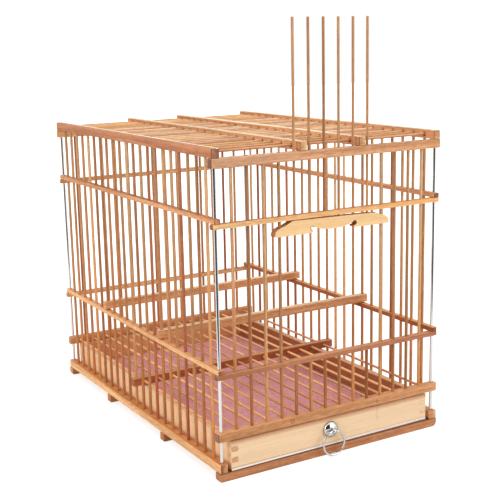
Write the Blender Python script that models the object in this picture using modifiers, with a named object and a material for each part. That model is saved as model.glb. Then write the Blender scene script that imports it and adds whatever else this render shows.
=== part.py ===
"""Free-standing bamboo and wood bird cage with a lifting door, two perches and a ring-pull drawer.

The rails are stacked at the corners as logs are, and a steel rod ties each corner.
Metres, +Z up. The origin is on the floor, under the middle of the cage and its ring pull.
"""
import math

import bmesh
import bpy
from mathutils import Matrix, Vector

# Running clearance between pieces, and how far a cutter runs past the face it enters
GAP = 0.0003
OVERRUN = 0.0010

# Plan: places of the corner rods
ROD_SPACING_X = 0.2400
ROD_SPACING_Y = 0.3590
ROD_DIAMETER = 0.0032
ROD_FOOT_SEAT = 0.0040
ROD_ROOF_SEAT = 0.0050

# Round bamboo sticks: those of the walls are a size thicker than those of the roof, the grate and the door
STICK_DIAMETER = 0.0026
WALL_STICK_DIAMETER = 0.0030
STICK_SIDES = 6
FRONT_STICK_COUNT = 14
SHORT_STICK_COUNT = 6
SIDE_STICK_COUNT = 21
SIDE_END_GAP = 0.0145
ROOF_STICK_COUNT = 22
ROOF_END_GAP = 0.01045
STICK_SEAT = 0.0035
SHALLOW_SEAT = 0.0012
SHORT_STICK_SEAT = 0.0024

# Rails: a heavy stock, a little wider in the sills and the roof, and a light one at mid height
HEAVY_WIDTH = 0.0075
HEAVY_HEIGHT = 0.0082
SIDE_WIDTH = 0.0080
LIGHT_WIDTH = 0.0063
LIGHT_HEIGHT = 0.0044
RAIL_OVERHANG = 0.0045
ROOF_OVERHANG = 0.0038
RAIL_END_ROUND = 0.0013
ROUND_SEGMENTS = 2
ROOF_INNER_STICK_STEP = 2

# Feet
FOOT_HEIGHT = 0.0082
FOOT_DEPTH = 0.0080
FOOT_OVERHANG = 0.0045
FOOT_LEFT_ROUND = 0.0026
FOOT_RIGHT_ROUND = 0.0045
FOOT_MIDDLE_ROUND = 0.0012
FOOT_STICK_STEP = 4

# Clear heights between the rails of the front, from the feet up
DRAWER_BAY_HEIGHT = 0.0291
LOWER_LIGHT = 0.0490
DOORWAY_HEIGHT = 0.1292
UPPER_LIGHT = 0.0479

# Lifting door: a carved board with its sticks, shown raised
BOARD_END_LENGTH = 0.0073
BOARD_HEIGHT = 0.0131
BOARD_THICKNESS = 0.0073
BOARD_DROP = 0.0005
DOOR_STICK_SEAT = 0.0042
DOOR_STICK_RISE = 0.1062
NOTCH_CENTRE_SHARES = (0.371, 0.328)
NOTCH_RADIUS = 0.0022
NOTCH_STEPS = 7

# Perches
PERCH_HEIGHT = 0.0080
PERCH_LIFT = 0.0015
PERCH_STICK_STEP = 4

# Drawer
DRAWER_LEFT_PLAY = 0.0038
DRAWER_RIGHT_PLAY = 0.0052
DRAWER_BACK_SETBACK = 0.0040
DRAWER_FRONT_SETBACK = 0.0010
DRAWER_WALL = 0.0072
DRAWER_TOP_PLAY = 0.0010
FINGER_COUNT = 5
TRAY_PANEL = 0.0020
TRAY_PANEL_LIP = 0.0008
LINER_THICKNESS = 0.0020
LINER_PLAY = 0.0005

# Domed knob with an eye, and the ring that hangs in it
KNOB_SHIFT = -0.0045
KNOB_RISE = 0.0141
DOME_DIAMETER = 0.0156
DOME_HEIGHT = 0.0048
DOME_EDGE = 0.0008
DOME_STEPS = 6
EYE_DIAMETER = 0.0052
EYE_BORE = 0.0026
EYE_REACH = 0.0062
EYE_NOSE = 0.0024
SHANK_DIAMETER = 0.0030
NUT_WIDTH = 0.0056
NUT_THICKNESS = 0.0022
RING_RADIUS = 0.0118
RING_WIRE = 0.0020
RING_STEPS = 32
RING_WIRE_STEPS = 8
TURN_STEPS = 24
BORE_STEPS = 12

# Half of the carved board's outline, from the shoulder outwards and round to the notch,
# as shares of half the board's width and of its height
CARVED_SHOULDER_SHARES = [
    (0.690, 1.000), (0.722, 0.965), (0.760, 0.860), (0.815, 0.745), (0.890, 0.640), (0.950, 0.520),
    (0.985, 0.340), (0.998, 0.130), (0.990, 0.030), (0.970, 0.000), (0.385, 0.000), (0.360, 0.035),
    (0.352, 0.105),
]
# The hanging lobe between the two notches
CARVED_LOBE_SHARES = [(0.318, 0.360), (0.270, 0.275), (0.200, 0.190), (0.120, 0.135), (0.000, 0.110)]
NOTCH_START_DEG = -115.0
NOTCH_END_DEG = 150.0

# Material colours and finishes
RAIL_COLOUR = (0.56, 0.27, 0.11)
STICK_COLOUR = (0.60, 0.30, 0.11)
BOARD_COLOUR = (0.82, 0.53, 0.24)
DRAWER_COLOUR = (0.83, 0.60, 0.36)
PANEL_COLOUR = (0.80, 0.72, 0.62)
LINER_COLOUR = (0.72, 0.32, 0.36)
STEEL_COLOUR = (0.62, 0.62, 0.60)
CHROME_COLOUR = (0.86, 0.86, 0.86)

# Heights worked out from the sizes above
BASE_BOTTOM = FOOT_HEIGHT + GAP
BASE_TOP = BASE_BOTTOM + HEAVY_HEIGHT
LOWER_BOTTOM = FOOT_HEIGHT + DRAWER_BAY_HEIGHT
LOWER_TOP = LOWER_BOTTOM + HEAVY_HEIGHT
LOWER_MID_BOTTOM = LOWER_TOP + LOWER_LIGHT
LOWER_MID_TOP = LOWER_MID_BOTTOM + LIGHT_HEIGHT
UPPER_MID_BOTTOM = LOWER_MID_TOP + DOORWAY_HEIGHT
UPPER_MID_TOP = UPPER_MID_BOTTOM + LIGHT_HEIGHT
TOP_BOTTOM = UPPER_MID_TOP + UPPER_LIGHT
TOP_TOP = TOP_BOTTOM + HEAVY_HEIGHT
ROOF_BOTTOM = TOP_TOP + GAP
ROOF_TOP = ROOF_BOTTOM + HEAVY_HEIGHT
SIDE_RISE = LIGHT_HEIGHT + GAP

# Stick spacings worked out from the rods' places
FRONT_STICK_PITCH = ROD_SPACING_X / (FRONT_STICK_COUNT + 1)
GRATE_STICK_COUNT = FRONT_STICK_COUNT + 1
SIDE_STICK_PITCH = (ROD_SPACING_Y - 2 * SIDE_END_GAP) / (SIDE_STICK_COUNT - 1)
ROOF_STICK_PITCH = (ROD_SPACING_Y - 2 * ROOF_END_GAP) / (ROOF_STICK_COUNT - 1)
ROOF_INNER_RAIL_X = ROOF_INNER_STICK_STEP * FRONT_STICK_PITCH
GUIDE_STICK_REACH = (SHORT_STICK_COUNT + 1) * FRONT_STICK_PITCH / 2
BOARD_WIDTH = 2 * (GUIDE_STICK_REACH + BOARD_END_LENGTH)
FOOT_MIDDLE_Y = FOOT_STICK_STEP * SIDE_STICK_PITCH

# Plan worked out from the sizes above; the cage stands a little back, so that it is centred with its pull
HALF_X = ROD_SPACING_X / 2
HALF_Y = ROD_SPACING_Y / 2
BOX_LEFT = -HALF_X + SIDE_WIDTH / 2 + DRAWER_LEFT_PLAY
BOX_RIGHT = HALF_X - SIDE_WIDTH / 2 - DRAWER_RIGHT_PLAY
DRAWER_X = (BOX_LEFT + BOX_RIGHT) / 2
KNOB_X = DRAWER_X + KNOB_SHIFT
BACK_REACH = HALF_Y + RAIL_OVERHANG
DRAWER_FACE = HALF_Y + RAIL_OVERHANG - DRAWER_FRONT_SETBACK
PULL_REACH = DRAWER_FACE + GAP + EYE_REACH + EYE_NOSE
CAGE_Y = (PULL_REACH - BACK_REACH) / 2
FRONT_Y = CAGE_Y - HALF_Y
REAR_Y = CAGE_Y + HALF_Y

# Moving pieces worked out from the sizes above
BOARD_BOTTOM = UPPER_MID_BOTTOM - BOARD_DROP - BOARD_HEIGHT
DOOR_STICK_BOTTOM = BOARD_BOTTOM + BOARD_HEIGHT - DOOR_STICK_SEAT
DOOR_STICK_TOP = ROOF_TOP + DOOR_STICK_RISE
PERCH_BOTTOM = LOWER_MID_BOTTOM + SIDE_RISE + LIGHT_HEIGHT + PERCH_LIFT
PERCH_Y = PERCH_STICK_STEP * SIDE_STICK_PITCH
PANEL_BOTTOM = FOOT_HEIGHT + GAP
BOX_BOTTOM = PANEL_BOTTOM + TRAY_PANEL + GAP
DRAWER_WALL_HEIGHT = LOWER_BOTTOM - DRAWER_TOP_PLAY - BOX_BOTTOM
KNOB_HEIGHT = BOX_BOTTOM + KNOB_RISE
BOX_FRONT = CAGE_Y - DRAWER_FACE
BOX_BACK = CAGE_Y + HALF_Y + RAIL_OVERHANG - DRAWER_BACK_SETBACK
EYE_Y = BOX_FRONT - GAP - EYE_REACH


def clear_scene():
    for obj in list(bpy.data.objects):
        bpy.data.objects.remove(obj, do_unlink=True)


def new_collection(name):
    collection = bpy.data.collections.new(name)
    bpy.context.scene.collection.children.link(collection)
    return collection


def principled(name, colour, roughness, metallic=0.0):
    material = bpy.data.materials.new(name)
    material.use_nodes = True
    shader = material.node_tree.nodes["Principled BSDF"]
    shader.inputs["Base Color"].default_value = (*colour, 1.0)
    shader.inputs["Roughness"].default_value = roughness
    shader.inputs["Metallic"].default_value = metallic
    material.diffuse_color = (*colour, 1.0)
    return material


clear_scene()
CAGE = new_collection("bird_cage")
CUTTERS = new_collection("cutters")

RAIL_WOOD = principled("rail_wood", RAIL_COLOUR, 0.55)
STICK_BAMBOO = principled("stick_bamboo", STICK_COLOUR, 0.45)
BOARD_WOOD = principled("board_wood", BOARD_COLOUR, 0.55)
DRAWER_WOOD = principled("drawer_wood", DRAWER_COLOUR, 0.55)
TRAY_BOARD = principled("tray_board", PANEL_COLOUR, 0.70)
LINER_FELT = principled("liner_felt", LINER_COLOUR, 0.95)
STEEL = principled("rod_steel", STEEL_COLOUR, 0.30, 1.0)
CHROME = principled("pull_chrome", CHROME_COLOUR, 0.10, 1.0)


def spread(count, pitch):
    """Places of count pieces, a pitch apart and centred on zero."""
    return [(i - (count - 1) / 2) * pitch for i in range(count)]


FRONT_STICK_X = spread(FRONT_STICK_COUNT, FRONT_STICK_PITCH)
DOOR_STICK_X = spread(SHORT_STICK_COUNT, FRONT_STICK_PITCH)
GUIDE_STICK_X = [-GUIDE_STICK_REACH, GUIDE_STICK_REACH]
SIDE_STICK_Y = [CAGE_Y + y for y in spread(SIDE_STICK_COUNT, SIDE_STICK_PITCH)]
ROOF_STICK_Y = [CAGE_Y + y for y in spread(ROOF_STICK_COUNT, ROOF_STICK_PITCH)]
GRATE_STICK_X = spread(GRATE_STICK_COUNT, FRONT_STICK_PITCH)
TALL_STICK_X = [x for x in FRONT_STICK_X if abs(x) > DOOR_STICK_X[-1] + GAP]
CORNERS = [(-HALF_X, FRONT_Y), (HALF_X, FRONT_Y), (-HALF_X, REAR_Y), (HALF_X, REAR_Y)]


def empty(name, place):
    obj = bpy.data.objects.new(name, None)
    obj.location = place
    CAGE.objects.link(obj)
    return obj


def add_piece(name, bm, place, material, parent=None):
    """A named object whose origin is at place, in world axes, under its parent empty if it has one."""
    mesh = bpy.data.meshes.new(name)
    bmesh.ops.recalc_face_normals(bm, faces=bm.faces)
    bm.to_mesh(mesh)
    bm.free()
    mesh.materials.append(material)
    obj = bpy.data.objects.new(name, mesh)
    CAGE.objects.link(obj)
    obj.location = Vector(place)
    if parent is not None:
        obj.location = Vector(place) - parent.location
        obj.parent = parent
    return obj


def add_block(bm, low, high):
    """A closed box between two corners."""
    low = Vector(low)
    high = Vector(high)
    made = bmesh.ops.create_cube(bm, size=1.0)
    bmesh.ops.scale(bm, verts=made["verts"], vec=high - low)
    bmesh.ops.translate(bm, verts=made["verts"], vec=(low + high) / 2)
    return made["verts"]


def add_rod(bm, start, end, diameter, sides=STICK_SIDES):
    """A closed round rod from start to end."""
    start = Vector(start)
    end = Vector(end)
    turn = (end - start).to_track_quat("Z", "Y").to_matrix().to_4x4()
    place = Matrix.Translation((start + end) / 2) @ turn
    bmesh.ops.create_cone(
        bm, cap_ends=True, segments=sides, radius1=diameter / 2, radius2=diameter / 2,
        depth=(end - start).length, matrix=place)


def add_helper(name, bm):
    """A shape that cuts or joins a piece and isn't a piece itself, in world coordinates."""
    mesh = bpy.data.meshes.new(name)
    bmesh.ops.recalc_face_normals(bm, faces=bm.faces)
    bm.to_mesh(mesh)
    bm.free()
    obj = bpy.data.objects.new(name, mesh)
    obj.display_type = "WIRE"
    obj.hide_render = True
    CUTTERS.objects.link(obj)
    return obj


def combine(piece, helper, operation):
    boolean = piece.modifiers.new(helper.name, "BOOLEAN")
    boolean.operation = operation
    boolean.solver = "EXACT"
    boolean.object = helper


def drill(piece, label, holes, sides=STICK_SIDES):
    """Bore round holes, each given as its start, its end and the diameter of what goes in."""
    bm = bmesh.new()
    for start, end, diameter in holes:
        add_rod(bm, start, end, diameter + 2 * GAP, sides)
    combine(piece, add_helper(f"{piece.name}_{label}", bm), "DIFFERENCE")


def join_rods(piece, label, rods, diameter=STICK_DIAMETER):
    """Join round sticks to a piece, as glue joins them, each given as its start and its end."""
    bm = bmesh.new()
    for start, end in rods:
        add_rod(bm, start, end, diameter)
    combine(piece, add_helper(f"{piece.name}_{label}", bm), "UNION")


def end_edges(bm, along, across):
    """The edges at both ends of a bar that lies along one axis, which run along another axis."""
    far = max(abs(v.co[along]) for v in bm.verts)
    edges = []
    for edge in bm.edges:
        a, b = (v.co for v in edge.verts)
        at_end = abs(abs(a[along]) - far) < OVERRUN and abs(abs(b[along]) - far) < OVERRUN
        if at_end and abs((a - b).normalized()[across]) > 0.5:
            edges.append(edge)
    return edges


def add_rail(name, centre, length, along, width, height, bottom, material=RAIL_WOOD, parent=None):
    """A straight rail along X (0) or Y (1), with softly rounded upright corners at its ends."""
    bm = bmesh.new()
    half = Vector((length / 2, width / 2, height / 2))
    if along == 1:
        half = Vector((width / 2, length / 2, height / 2))
    add_block(bm, -half, half)
    bmesh.ops.bevel(
        bm, geom=end_edges(bm, along, 2), offset=RAIL_END_ROUND, segments=ROUND_SEGMENTS,
        profile=0.5, affect="EDGES", material=-1)
    return add_piece(name, bm, (centre[0], centre[1], bottom + height / 2), material, parent)


def upright(x, y, bottom, top, diameter=WALL_STICK_DIAMETER):
    """A vertical hole for drill, which takes a wall's stick unless another diameter is given."""
    return (x, y, bottom), (x, y, top), diameter


def corner_bores(bottom, top, corners=CORNERS):
    return [upright(x, y, bottom, top, ROD_DIAMETER) for x, y in corners]


def through(bottom, height):
    """The bottom and top of a hole right through a rail."""
    return bottom - OVERRUN, bottom + height + OVERRUN


X_RAIL_LENGTH = ROD_SPACING_X + 2 * RAIL_OVERHANG
Y_RAIL_LENGTH = ROD_SPACING_Y + 2 * RAIL_OVERHANG
ROOF_RAIL_LENGTH = ROD_SPACING_Y + 2 * ROOF_OVERHANG
FRONT_CORNERS = CORNERS[:2]
REAR_CORNERS = CORNERS[2:]
LEFT_CORNERS = [CORNERS[0], CORNERS[2]]
RIGHT_CORNERS = [CORNERS[1], CORNERS[3]]


def make_feet():
    """Four cross rails that carry the cage, with their lower end corners rounded."""
    plan = [
        ("foot_rail_front", -HALF_Y, FOOT_LEFT_ROUND, FOOT_RIGHT_ROUND),
        ("foot_rail_mid_front", -FOOT_MIDDLE_Y, FOOT_MIDDLE_ROUND, FOOT_MIDDLE_ROUND),
        ("foot_rail_mid_rear", FOOT_MIDDLE_Y, FOOT_MIDDLE_ROUND, FOOT_MIDDLE_ROUND),
        ("foot_rail_rear", HALF_Y, FOOT_LEFT_ROUND, FOOT_RIGHT_ROUND),
    ]
    half = Vector((HALF_X + FOOT_OVERHANG, FOOT_DEPTH / 2, FOOT_HEIGHT / 2))
    for name, place, left_round, right_round in plan:
        y = CAGE_Y + place
        bm = bmesh.new()
        add_block(bm, -half, half)
        for sign, size in ((-1, left_round), (1, right_round)):
            lower = [e for e in end_edges(bm, 0, 1) if e.verts[0].co.z < 0 < sign * e.verts[0].co.x]
            bmesh.ops.bevel(
                bm, geom=lower, offset=size, segments=ROUND_SEGMENTS + 1, profile=0.5,
                affect="EDGES", material=-1)
        foot = add_piece(name, bm, (0, y, FOOT_HEIGHT / 2), RAIL_WOOD)
        rods = [c for c in CORNERS if abs(c[1] - y) < FOOT_DEPTH / 2]
        if rods:
            bottom = FOOT_HEIGHT - ROD_FOOT_SEAT - GAP
            drill(foot, "rod_bores", corner_bores(bottom, FOOT_HEIGHT + OVERRUN, rods))


def make_side(side, x, corners):
    """A side wall: the sill with its sticks glued in, two light rails threaded on them."""
    sill = add_rail(
        f"{side}_wall_sill_and_sticks", (x, CAGE_Y), Y_RAIL_LENGTH, 1, SIDE_WIDTH, HEAVY_HEIGHT, BASE_BOTTOM)
    drill(sill, "rod_bores", corner_bores(*through(BASE_BOTTOM, HEAVY_HEIGHT), corners))
    stick_top = ROOF_BOTTOM + SHALLOW_SEAT
    rows = [((x, y, BASE_TOP - STICK_SEAT), (x, y, stick_top)) for y in SIDE_STICK_Y]
    join_rods(sill, "sticks", rows, WALL_STICK_DIAMETER)
    for label, front_bottom in (("lower", LOWER_MID_BOTTOM), ("upper", UPPER_MID_BOTTOM)):
        bottom = front_bottom + SIDE_RISE
        rail = add_rail(
            f"{label}_mid_rail_{side}", (x, CAGE_Y), Y_RAIL_LENGTH, 1, LIGHT_WIDTH, LIGHT_HEIGHT, bottom)
        holes = [upright(x, y, *through(bottom, LIGHT_HEIGHT)) for y in SIDE_STICK_Y]
        drill(rail, "bores", holes + corner_bores(*through(bottom, LIGHT_HEIGHT), corners))


def make_rear():
    """The rear wall: its lower rail with the sticks glued in, two light rails and a top rail."""
    seat = LOWER_TOP - STICK_SEAT
    rail = add_rail(
        "rear_wall_rail_and_sticks", (0, REAR_Y), X_RAIL_LENGTH, 0, HEAVY_WIDTH, HEAVY_HEIGHT, LOWER_BOTTOM)
    drill(rail, "rod_bores", corner_bores(*through(LOWER_BOTTOM, HEAVY_HEIGHT), REAR_CORNERS))
    drill(rail, "grate_bores", grate_seats(REAR_Y - HEAVY_WIDTH / 2, 1))
    stick_top = TOP_BOTTOM + STICK_SEAT
    rows = [((x, REAR_Y, seat), (x, REAR_Y, stick_top)) for x in FRONT_STICK_X]
    join_rods(rail, "sticks", rows, WALL_STICK_DIAMETER)
    for name, bottom in (("lower_mid_rail_rear", LOWER_MID_BOTTOM), ("upper_mid_rail_rear", UPPER_MID_BOTTOM)):
        rail = add_rail(name, (0, REAR_Y), X_RAIL_LENGTH, 0, LIGHT_WIDTH, LIGHT_HEIGHT, bottom)
        holes = [upright(x, REAR_Y, *through(bottom, LIGHT_HEIGHT)) for x in FRONT_STICK_X]
        drill(rail, "bores", holes + corner_bores(*through(bottom, LIGHT_HEIGHT), REAR_CORNERS))
    rail = add_rail("top_rail_rear", (0, REAR_Y), X_RAIL_LENGTH, 0, HEAVY_WIDTH, HEAVY_HEIGHT, TOP_BOTTOM)
    holes = [upright(x, REAR_Y, TOP_BOTTOM - OVERRUN, stick_top + GAP) for x in FRONT_STICK_X]
    drill(rail, "bores", holes + corner_bores(*through(TOP_BOTTOM, HEAVY_HEIGHT), REAR_CORNERS))


def grate_seats(face, side):
    """Blind holes for the grate's sticks in the inner face of the lower front or rear rail."""
    z = LOWER_BOTTOM + HEAVY_HEIGHT / 2
    ends = sorted([face - side * OVERRUN, face + side * (STICK_SEAT + GAP)])
    return [((x, ends[0], z), (x, ends[1], z), STICK_DIAMETER) for x in GRATE_STICK_X]


def make_front():
    """The front wall: four rails, and sticks that leave the doorway open."""
    seat = LOWER_TOP - STICK_SEAT
    lower = add_rail(
        "lower_rail_front", (0, FRONT_Y), X_RAIL_LENGTH, 0, HEAVY_WIDTH, HEAVY_HEIGHT, LOWER_BOTTOM)
    holes = [upright(x, FRONT_Y, seat - GAP, LOWER_TOP + OVERRUN) for x in FRONT_STICK_X]
    drill(lower, "bores", holes + corner_bores(*through(LOWER_BOTTOM, HEAVY_HEIGHT), FRONT_CORNERS))
    drill(lower, "grate_bores", grate_seats(FRONT_Y + HEAVY_WIDTH / 2, -1))

    short_top = LOWER_MID_BOTTOM + SHORT_STICK_SEAT
    sill = add_rail(
        "lower_mid_rail_front", (0, FRONT_Y), X_RAIL_LENGTH, 0, LIGHT_WIDTH, LIGHT_HEIGHT, LOWER_MID_BOTTOM)
    holes = [upright(x, FRONT_Y, *through(LOWER_MID_BOTTOM, LIGHT_HEIGHT)) for x in TALL_STICK_X]
    holes += [upright(x, FRONT_Y, LOWER_MID_BOTTOM - OVERRUN, short_top + GAP) for x in DOOR_STICK_X]
    drill(sill, "bores", holes + corner_bores(*through(LOWER_MID_BOTTOM, LIGHT_HEIGHT), FRONT_CORNERS))

    lintel = add_rail(
        "upper_mid_rail_front", (0, FRONT_Y), X_RAIL_LENGTH, 0, LIGHT_WIDTH, LIGHT_HEIGHT, UPPER_MID_BOTTOM)
    span = through(UPPER_MID_BOTTOM, LIGHT_HEIGHT)
    holes = [upright(x, FRONT_Y, *span) for x in TALL_STICK_X]
    holes += [upright(x, FRONT_Y, *span, STICK_DIAMETER) for x in DOOR_STICK_X]
    drill(lintel, "bores", holes + corner_bores(*span, FRONT_CORNERS))

    tall_top = TOP_BOTTOM + STICK_SEAT
    top = add_rail("top_rail_front", (0, FRONT_Y), X_RAIL_LENGTH, 0, HEAVY_WIDTH, HEAVY_HEIGHT, TOP_BOTTOM)
    holes = [upright(x, FRONT_Y, TOP_BOTTOM - OVERRUN, tall_top + GAP) for x in TALL_STICK_X]
    span = through(TOP_BOTTOM, HEAVY_HEIGHT)
    holes += [upright(x, FRONT_Y, *span, STICK_DIAMETER) for x in DOOR_STICK_X]
    drill(top, "bores", holes + corner_bores(*span, FRONT_CORNERS))

    for i, x in enumerate(FRONT_STICK_X):
        end = tall_top if x in TALL_STICK_X else short_top
        add_stick(f"front_stick_{i + 1:02d}", x, FRONT_Y, seat, end, diameter=WALL_STICK_DIAMETER)


def add_stick(name, x, y, bottom, top, parent=None, diameter=STICK_DIAMETER, material=STICK_BAMBOO):
    bm = bmesh.new()
    half = Vector((0, 0, (top - bottom) / 2))
    add_rod(bm, -half, half, diameter)
    return add_piece(name, bm, (x, y, (bottom + top) / 2), material, parent)


def make_roof():
    """Four rails front to back, and the sticks that run through them from side to side."""
    z = (ROOF_BOTTOM + ROOF_TOP) / 2
    stick_end = HALF_X - SIDE_WIDTH / 2 + STICK_SEAT
    hole_end = stick_end + GAP
    rows = [((-stick_end, y, z), (stick_end, y, z)) for y in ROOF_STICK_Y]
    for side, sign, corners in (("left", -1, LEFT_CORNERS), ("right", 1, RIGHT_CORNERS)):
        outer = add_rail(
            f"roof_rail_{side}", (sign * HALF_X, CAGE_Y), ROOF_RAIL_LENGTH, 1,
            SIDE_WIDTH, HEAVY_HEIGHT, ROOF_BOTTOM)
        inner_face = HALF_X - SIDE_WIDTH / 2 - OVERRUN
        ends = sorted([sign * inner_face, sign * hole_end])
        drill(outer, "roof_bores", [((ends[0], y, z), (ends[1], y, z), STICK_DIAMETER) for y in ROOF_STICK_Y])
        hole_top = ROOF_BOTTOM + SHALLOW_SEAT + GAP
        holes = [upright(sign * HALF_X, y, ROOF_BOTTOM - OVERRUN, hole_top) for y in SIDE_STICK_Y]
        holes += corner_bores(ROOF_BOTTOM - OVERRUN, ROOF_BOTTOM + ROD_ROOF_SEAT + GAP, corners)
        drill(outer, "wall_bores", holes)
    inner = add_rail(
        "roof_rail_inner_right", (ROOF_INNER_RAIL_X, CAGE_Y), ROOF_RAIL_LENGTH, 1,
        SIDE_WIDTH, HEAVY_HEIGHT, ROOF_BOTTOM)
    half = SIDE_WIDTH / 2 + OVERRUN
    near = ROOF_INNER_RAIL_X - half
    far = ROOF_INNER_RAIL_X + half
    drill(inner, "roof_bores", [((near, y, z), (far, y, z), STICK_DIAMETER) for y in ROOF_STICK_Y])
    carrier = add_rail(
        "roof_rail_inner_left_and_sticks", (-ROOF_INNER_RAIL_X, CAGE_Y), ROOF_RAIL_LENGTH, 1,
        SIDE_WIDTH, HEAVY_HEIGHT, ROOF_BOTTOM)
    join_rods(carrier, "sticks", rows)


def make_rods():
    """The four steel corner rods, from the end feet to the roof rails."""
    bottom = FOOT_HEIGHT - ROD_FOOT_SEAT
    top = ROOF_BOTTOM + ROD_ROOF_SEAT
    names = ["corner_rod_front_left", "corner_rod_front_right", "corner_rod_rear_left", "corner_rod_rear_right"]
    for name, (x, y) in zip(names, CORNERS):
        add_stick(name, x, y, bottom, top, diameter=ROD_DIAMETER, material=STEEL)


def make_grate():
    """The floor grate: sticks front to back, through a cross bar that is threaded on the side walls."""
    z = LOWER_BOTTOM + HEAVY_HEIGHT / 2
    front = FRONT_Y + HEAVY_WIDTH / 2 - STICK_SEAT
    back = REAR_Y - HEAVY_WIDTH / 2 + STICK_SEAT
    bar = add_rail("floor_grate", (0, CAGE_Y), X_RAIL_LENGTH, 0, HEAVY_WIDTH, HEAVY_HEIGHT, LOWER_BOTTOM)
    span = through(LOWER_BOTTOM, HEAVY_HEIGHT)
    drill(bar, "wall_bores", [upright(x, CAGE_Y, *span) for x in (-HALF_X, HALF_X)])
    join_rods(bar, "sticks", [((x, front, z), (x, back, z)) for x in GRATE_STICK_X])


def make_perches():
    """Two square bars, threaded at their ends on a stick of each side wall."""
    for name, y in (("perch_front", CAGE_Y - PERCH_Y), ("perch_rear", CAGE_Y + PERCH_Y)):
        guide = empty(f"{name}_guide", (0, y, PERCH_BOTTOM))
        perch = add_rail(
            name, (0, y), X_RAIL_LENGTH, 0, HEAVY_WIDTH, PERCH_HEIGHT, PERCH_BOTTOM, RAIL_WOOD, guide)
        span = through(PERCH_BOTTOM, PERCH_HEIGHT)
        drill(perch, "wall_bores", [upright(x, y, *span) for x in (-HALF_X, HALF_X)])


def board_outline():
    """The carved board's outline, seen from the front, as a closed list of points."""
    half = [(sx * BOARD_WIDTH / 2, sz * BOARD_HEIGHT) for sx, sz in CARVED_SHOULDER_SHARES]
    for i in range(NOTCH_STEPS + 1):
        angle = math.radians(NOTCH_START_DEG + (NOTCH_END_DEG - NOTCH_START_DEG) * i / NOTCH_STEPS)
        x = NOTCH_CENTRE_SHARES[0] * BOARD_WIDTH / 2 + NOTCH_RADIUS * math.cos(angle)
        z = NOTCH_CENTRE_SHARES[1] * BOARD_HEIGHT + NOTCH_RADIUS * math.sin(angle)
        half.append((x, z))
    half += [(sx * BOARD_WIDTH / 2, sz * BOARD_HEIGHT) for sx, sz in CARVED_LOBE_SHARES]
    mirrored = [(-x, z) for x, z in reversed(half[:-1])]
    return half + mirrored


def make_door():
    """The carved board, threaded on the two sticks beside the doorway, and the six sticks that it carries."""
    door = empty("door_guide", (0, FRONT_Y, BOARD_BOTTOM))
    curve = bpy.data.curves.new("door_board_outline", "CURVE")
    curve.dimensions = "2D"
    curve.fill_mode = "BOTH"
    curve.extrude = BOARD_THICKNESS / 2
    points = board_outline()
    spline = curve.splines.new("POLY")
    spline.points.add(len(points) - 1)
    for point, (x, z) in zip(spline.points, points):
        point.co = (x, z, 0, 1)
    spline.use_cyclic_u = True
    flat = bpy.data.objects.new("door_board_outline", curve)
    CAGE.objects.link(flat)
    bpy.context.view_layer.update()
    mesh = bpy.data.meshes.new_from_object(flat.evaluated_get(bpy.context.evaluated_depsgraph_get()))
    bm = bmesh.new()
    bm.from_mesh(mesh)
    bmesh.ops.remove_doubles(bm, verts=bm.verts, dist=GAP / 10)
    bmesh.ops.rotate(bm, verts=bm.verts, cent=(0, 0, 0), matrix=Matrix.Rotation(math.pi / 2, 3, "X"))
    bpy.data.objects.remove(flat, do_unlink=True)
    bpy.data.meshes.remove(mesh)
    board = add_piece("door_board", bm, (0, FRONT_Y, BOARD_BOTTOM), BOARD_WOOD, door)
    seats = [
        upright(x, FRONT_Y, DOOR_STICK_BOTTOM - GAP, BOARD_BOTTOM + BOARD_HEIGHT + OVERRUN, STICK_DIAMETER)
        for x in DOOR_STICK_X]
    drill(board, "stick_bores", seats)
    guides = [upright(x, FRONT_Y, *through(BOARD_BOTTOM, BOARD_HEIGHT)) for x in GUIDE_STICK_X]
    drill(board, "guide_bores", guides)
    for i, x in enumerate(DOOR_STICK_X):
        add_stick(f"door_stick_{i + 1}", x, FRONT_Y, DOOR_STICK_BOTTOM, DOOR_STICK_TOP, door)


def finger_slots(x_low, x_high, y_low, y_high, picks):
    """Boxes that cut the slots between a drawer wall's fingers, one for each picked step of its height."""
    step = DRAWER_WALL_HEIGHT / FINGER_COUNT
    boxes = []
    for i in picks:
        low = BOX_BOTTOM + i * step - GAP / 2
        high = BOX_BOTTOM + (i + 1) * step + GAP / 2
        if i == 0:
            low -= OVERRUN
        if i == FINGER_COUNT - 1:
            high += OVERRUN
        boxes.append(((x_low, y_low, low), (x_high, y_high, high)))
    return boxes


def cut_boxes(piece, label, boxes):
    bm = bmesh.new()
    for low, high in boxes:
        add_block(bm, low, high)
    combine(piece, add_helper(f"{piece.name}_{label}", bm), "DIFFERENCE")


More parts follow.
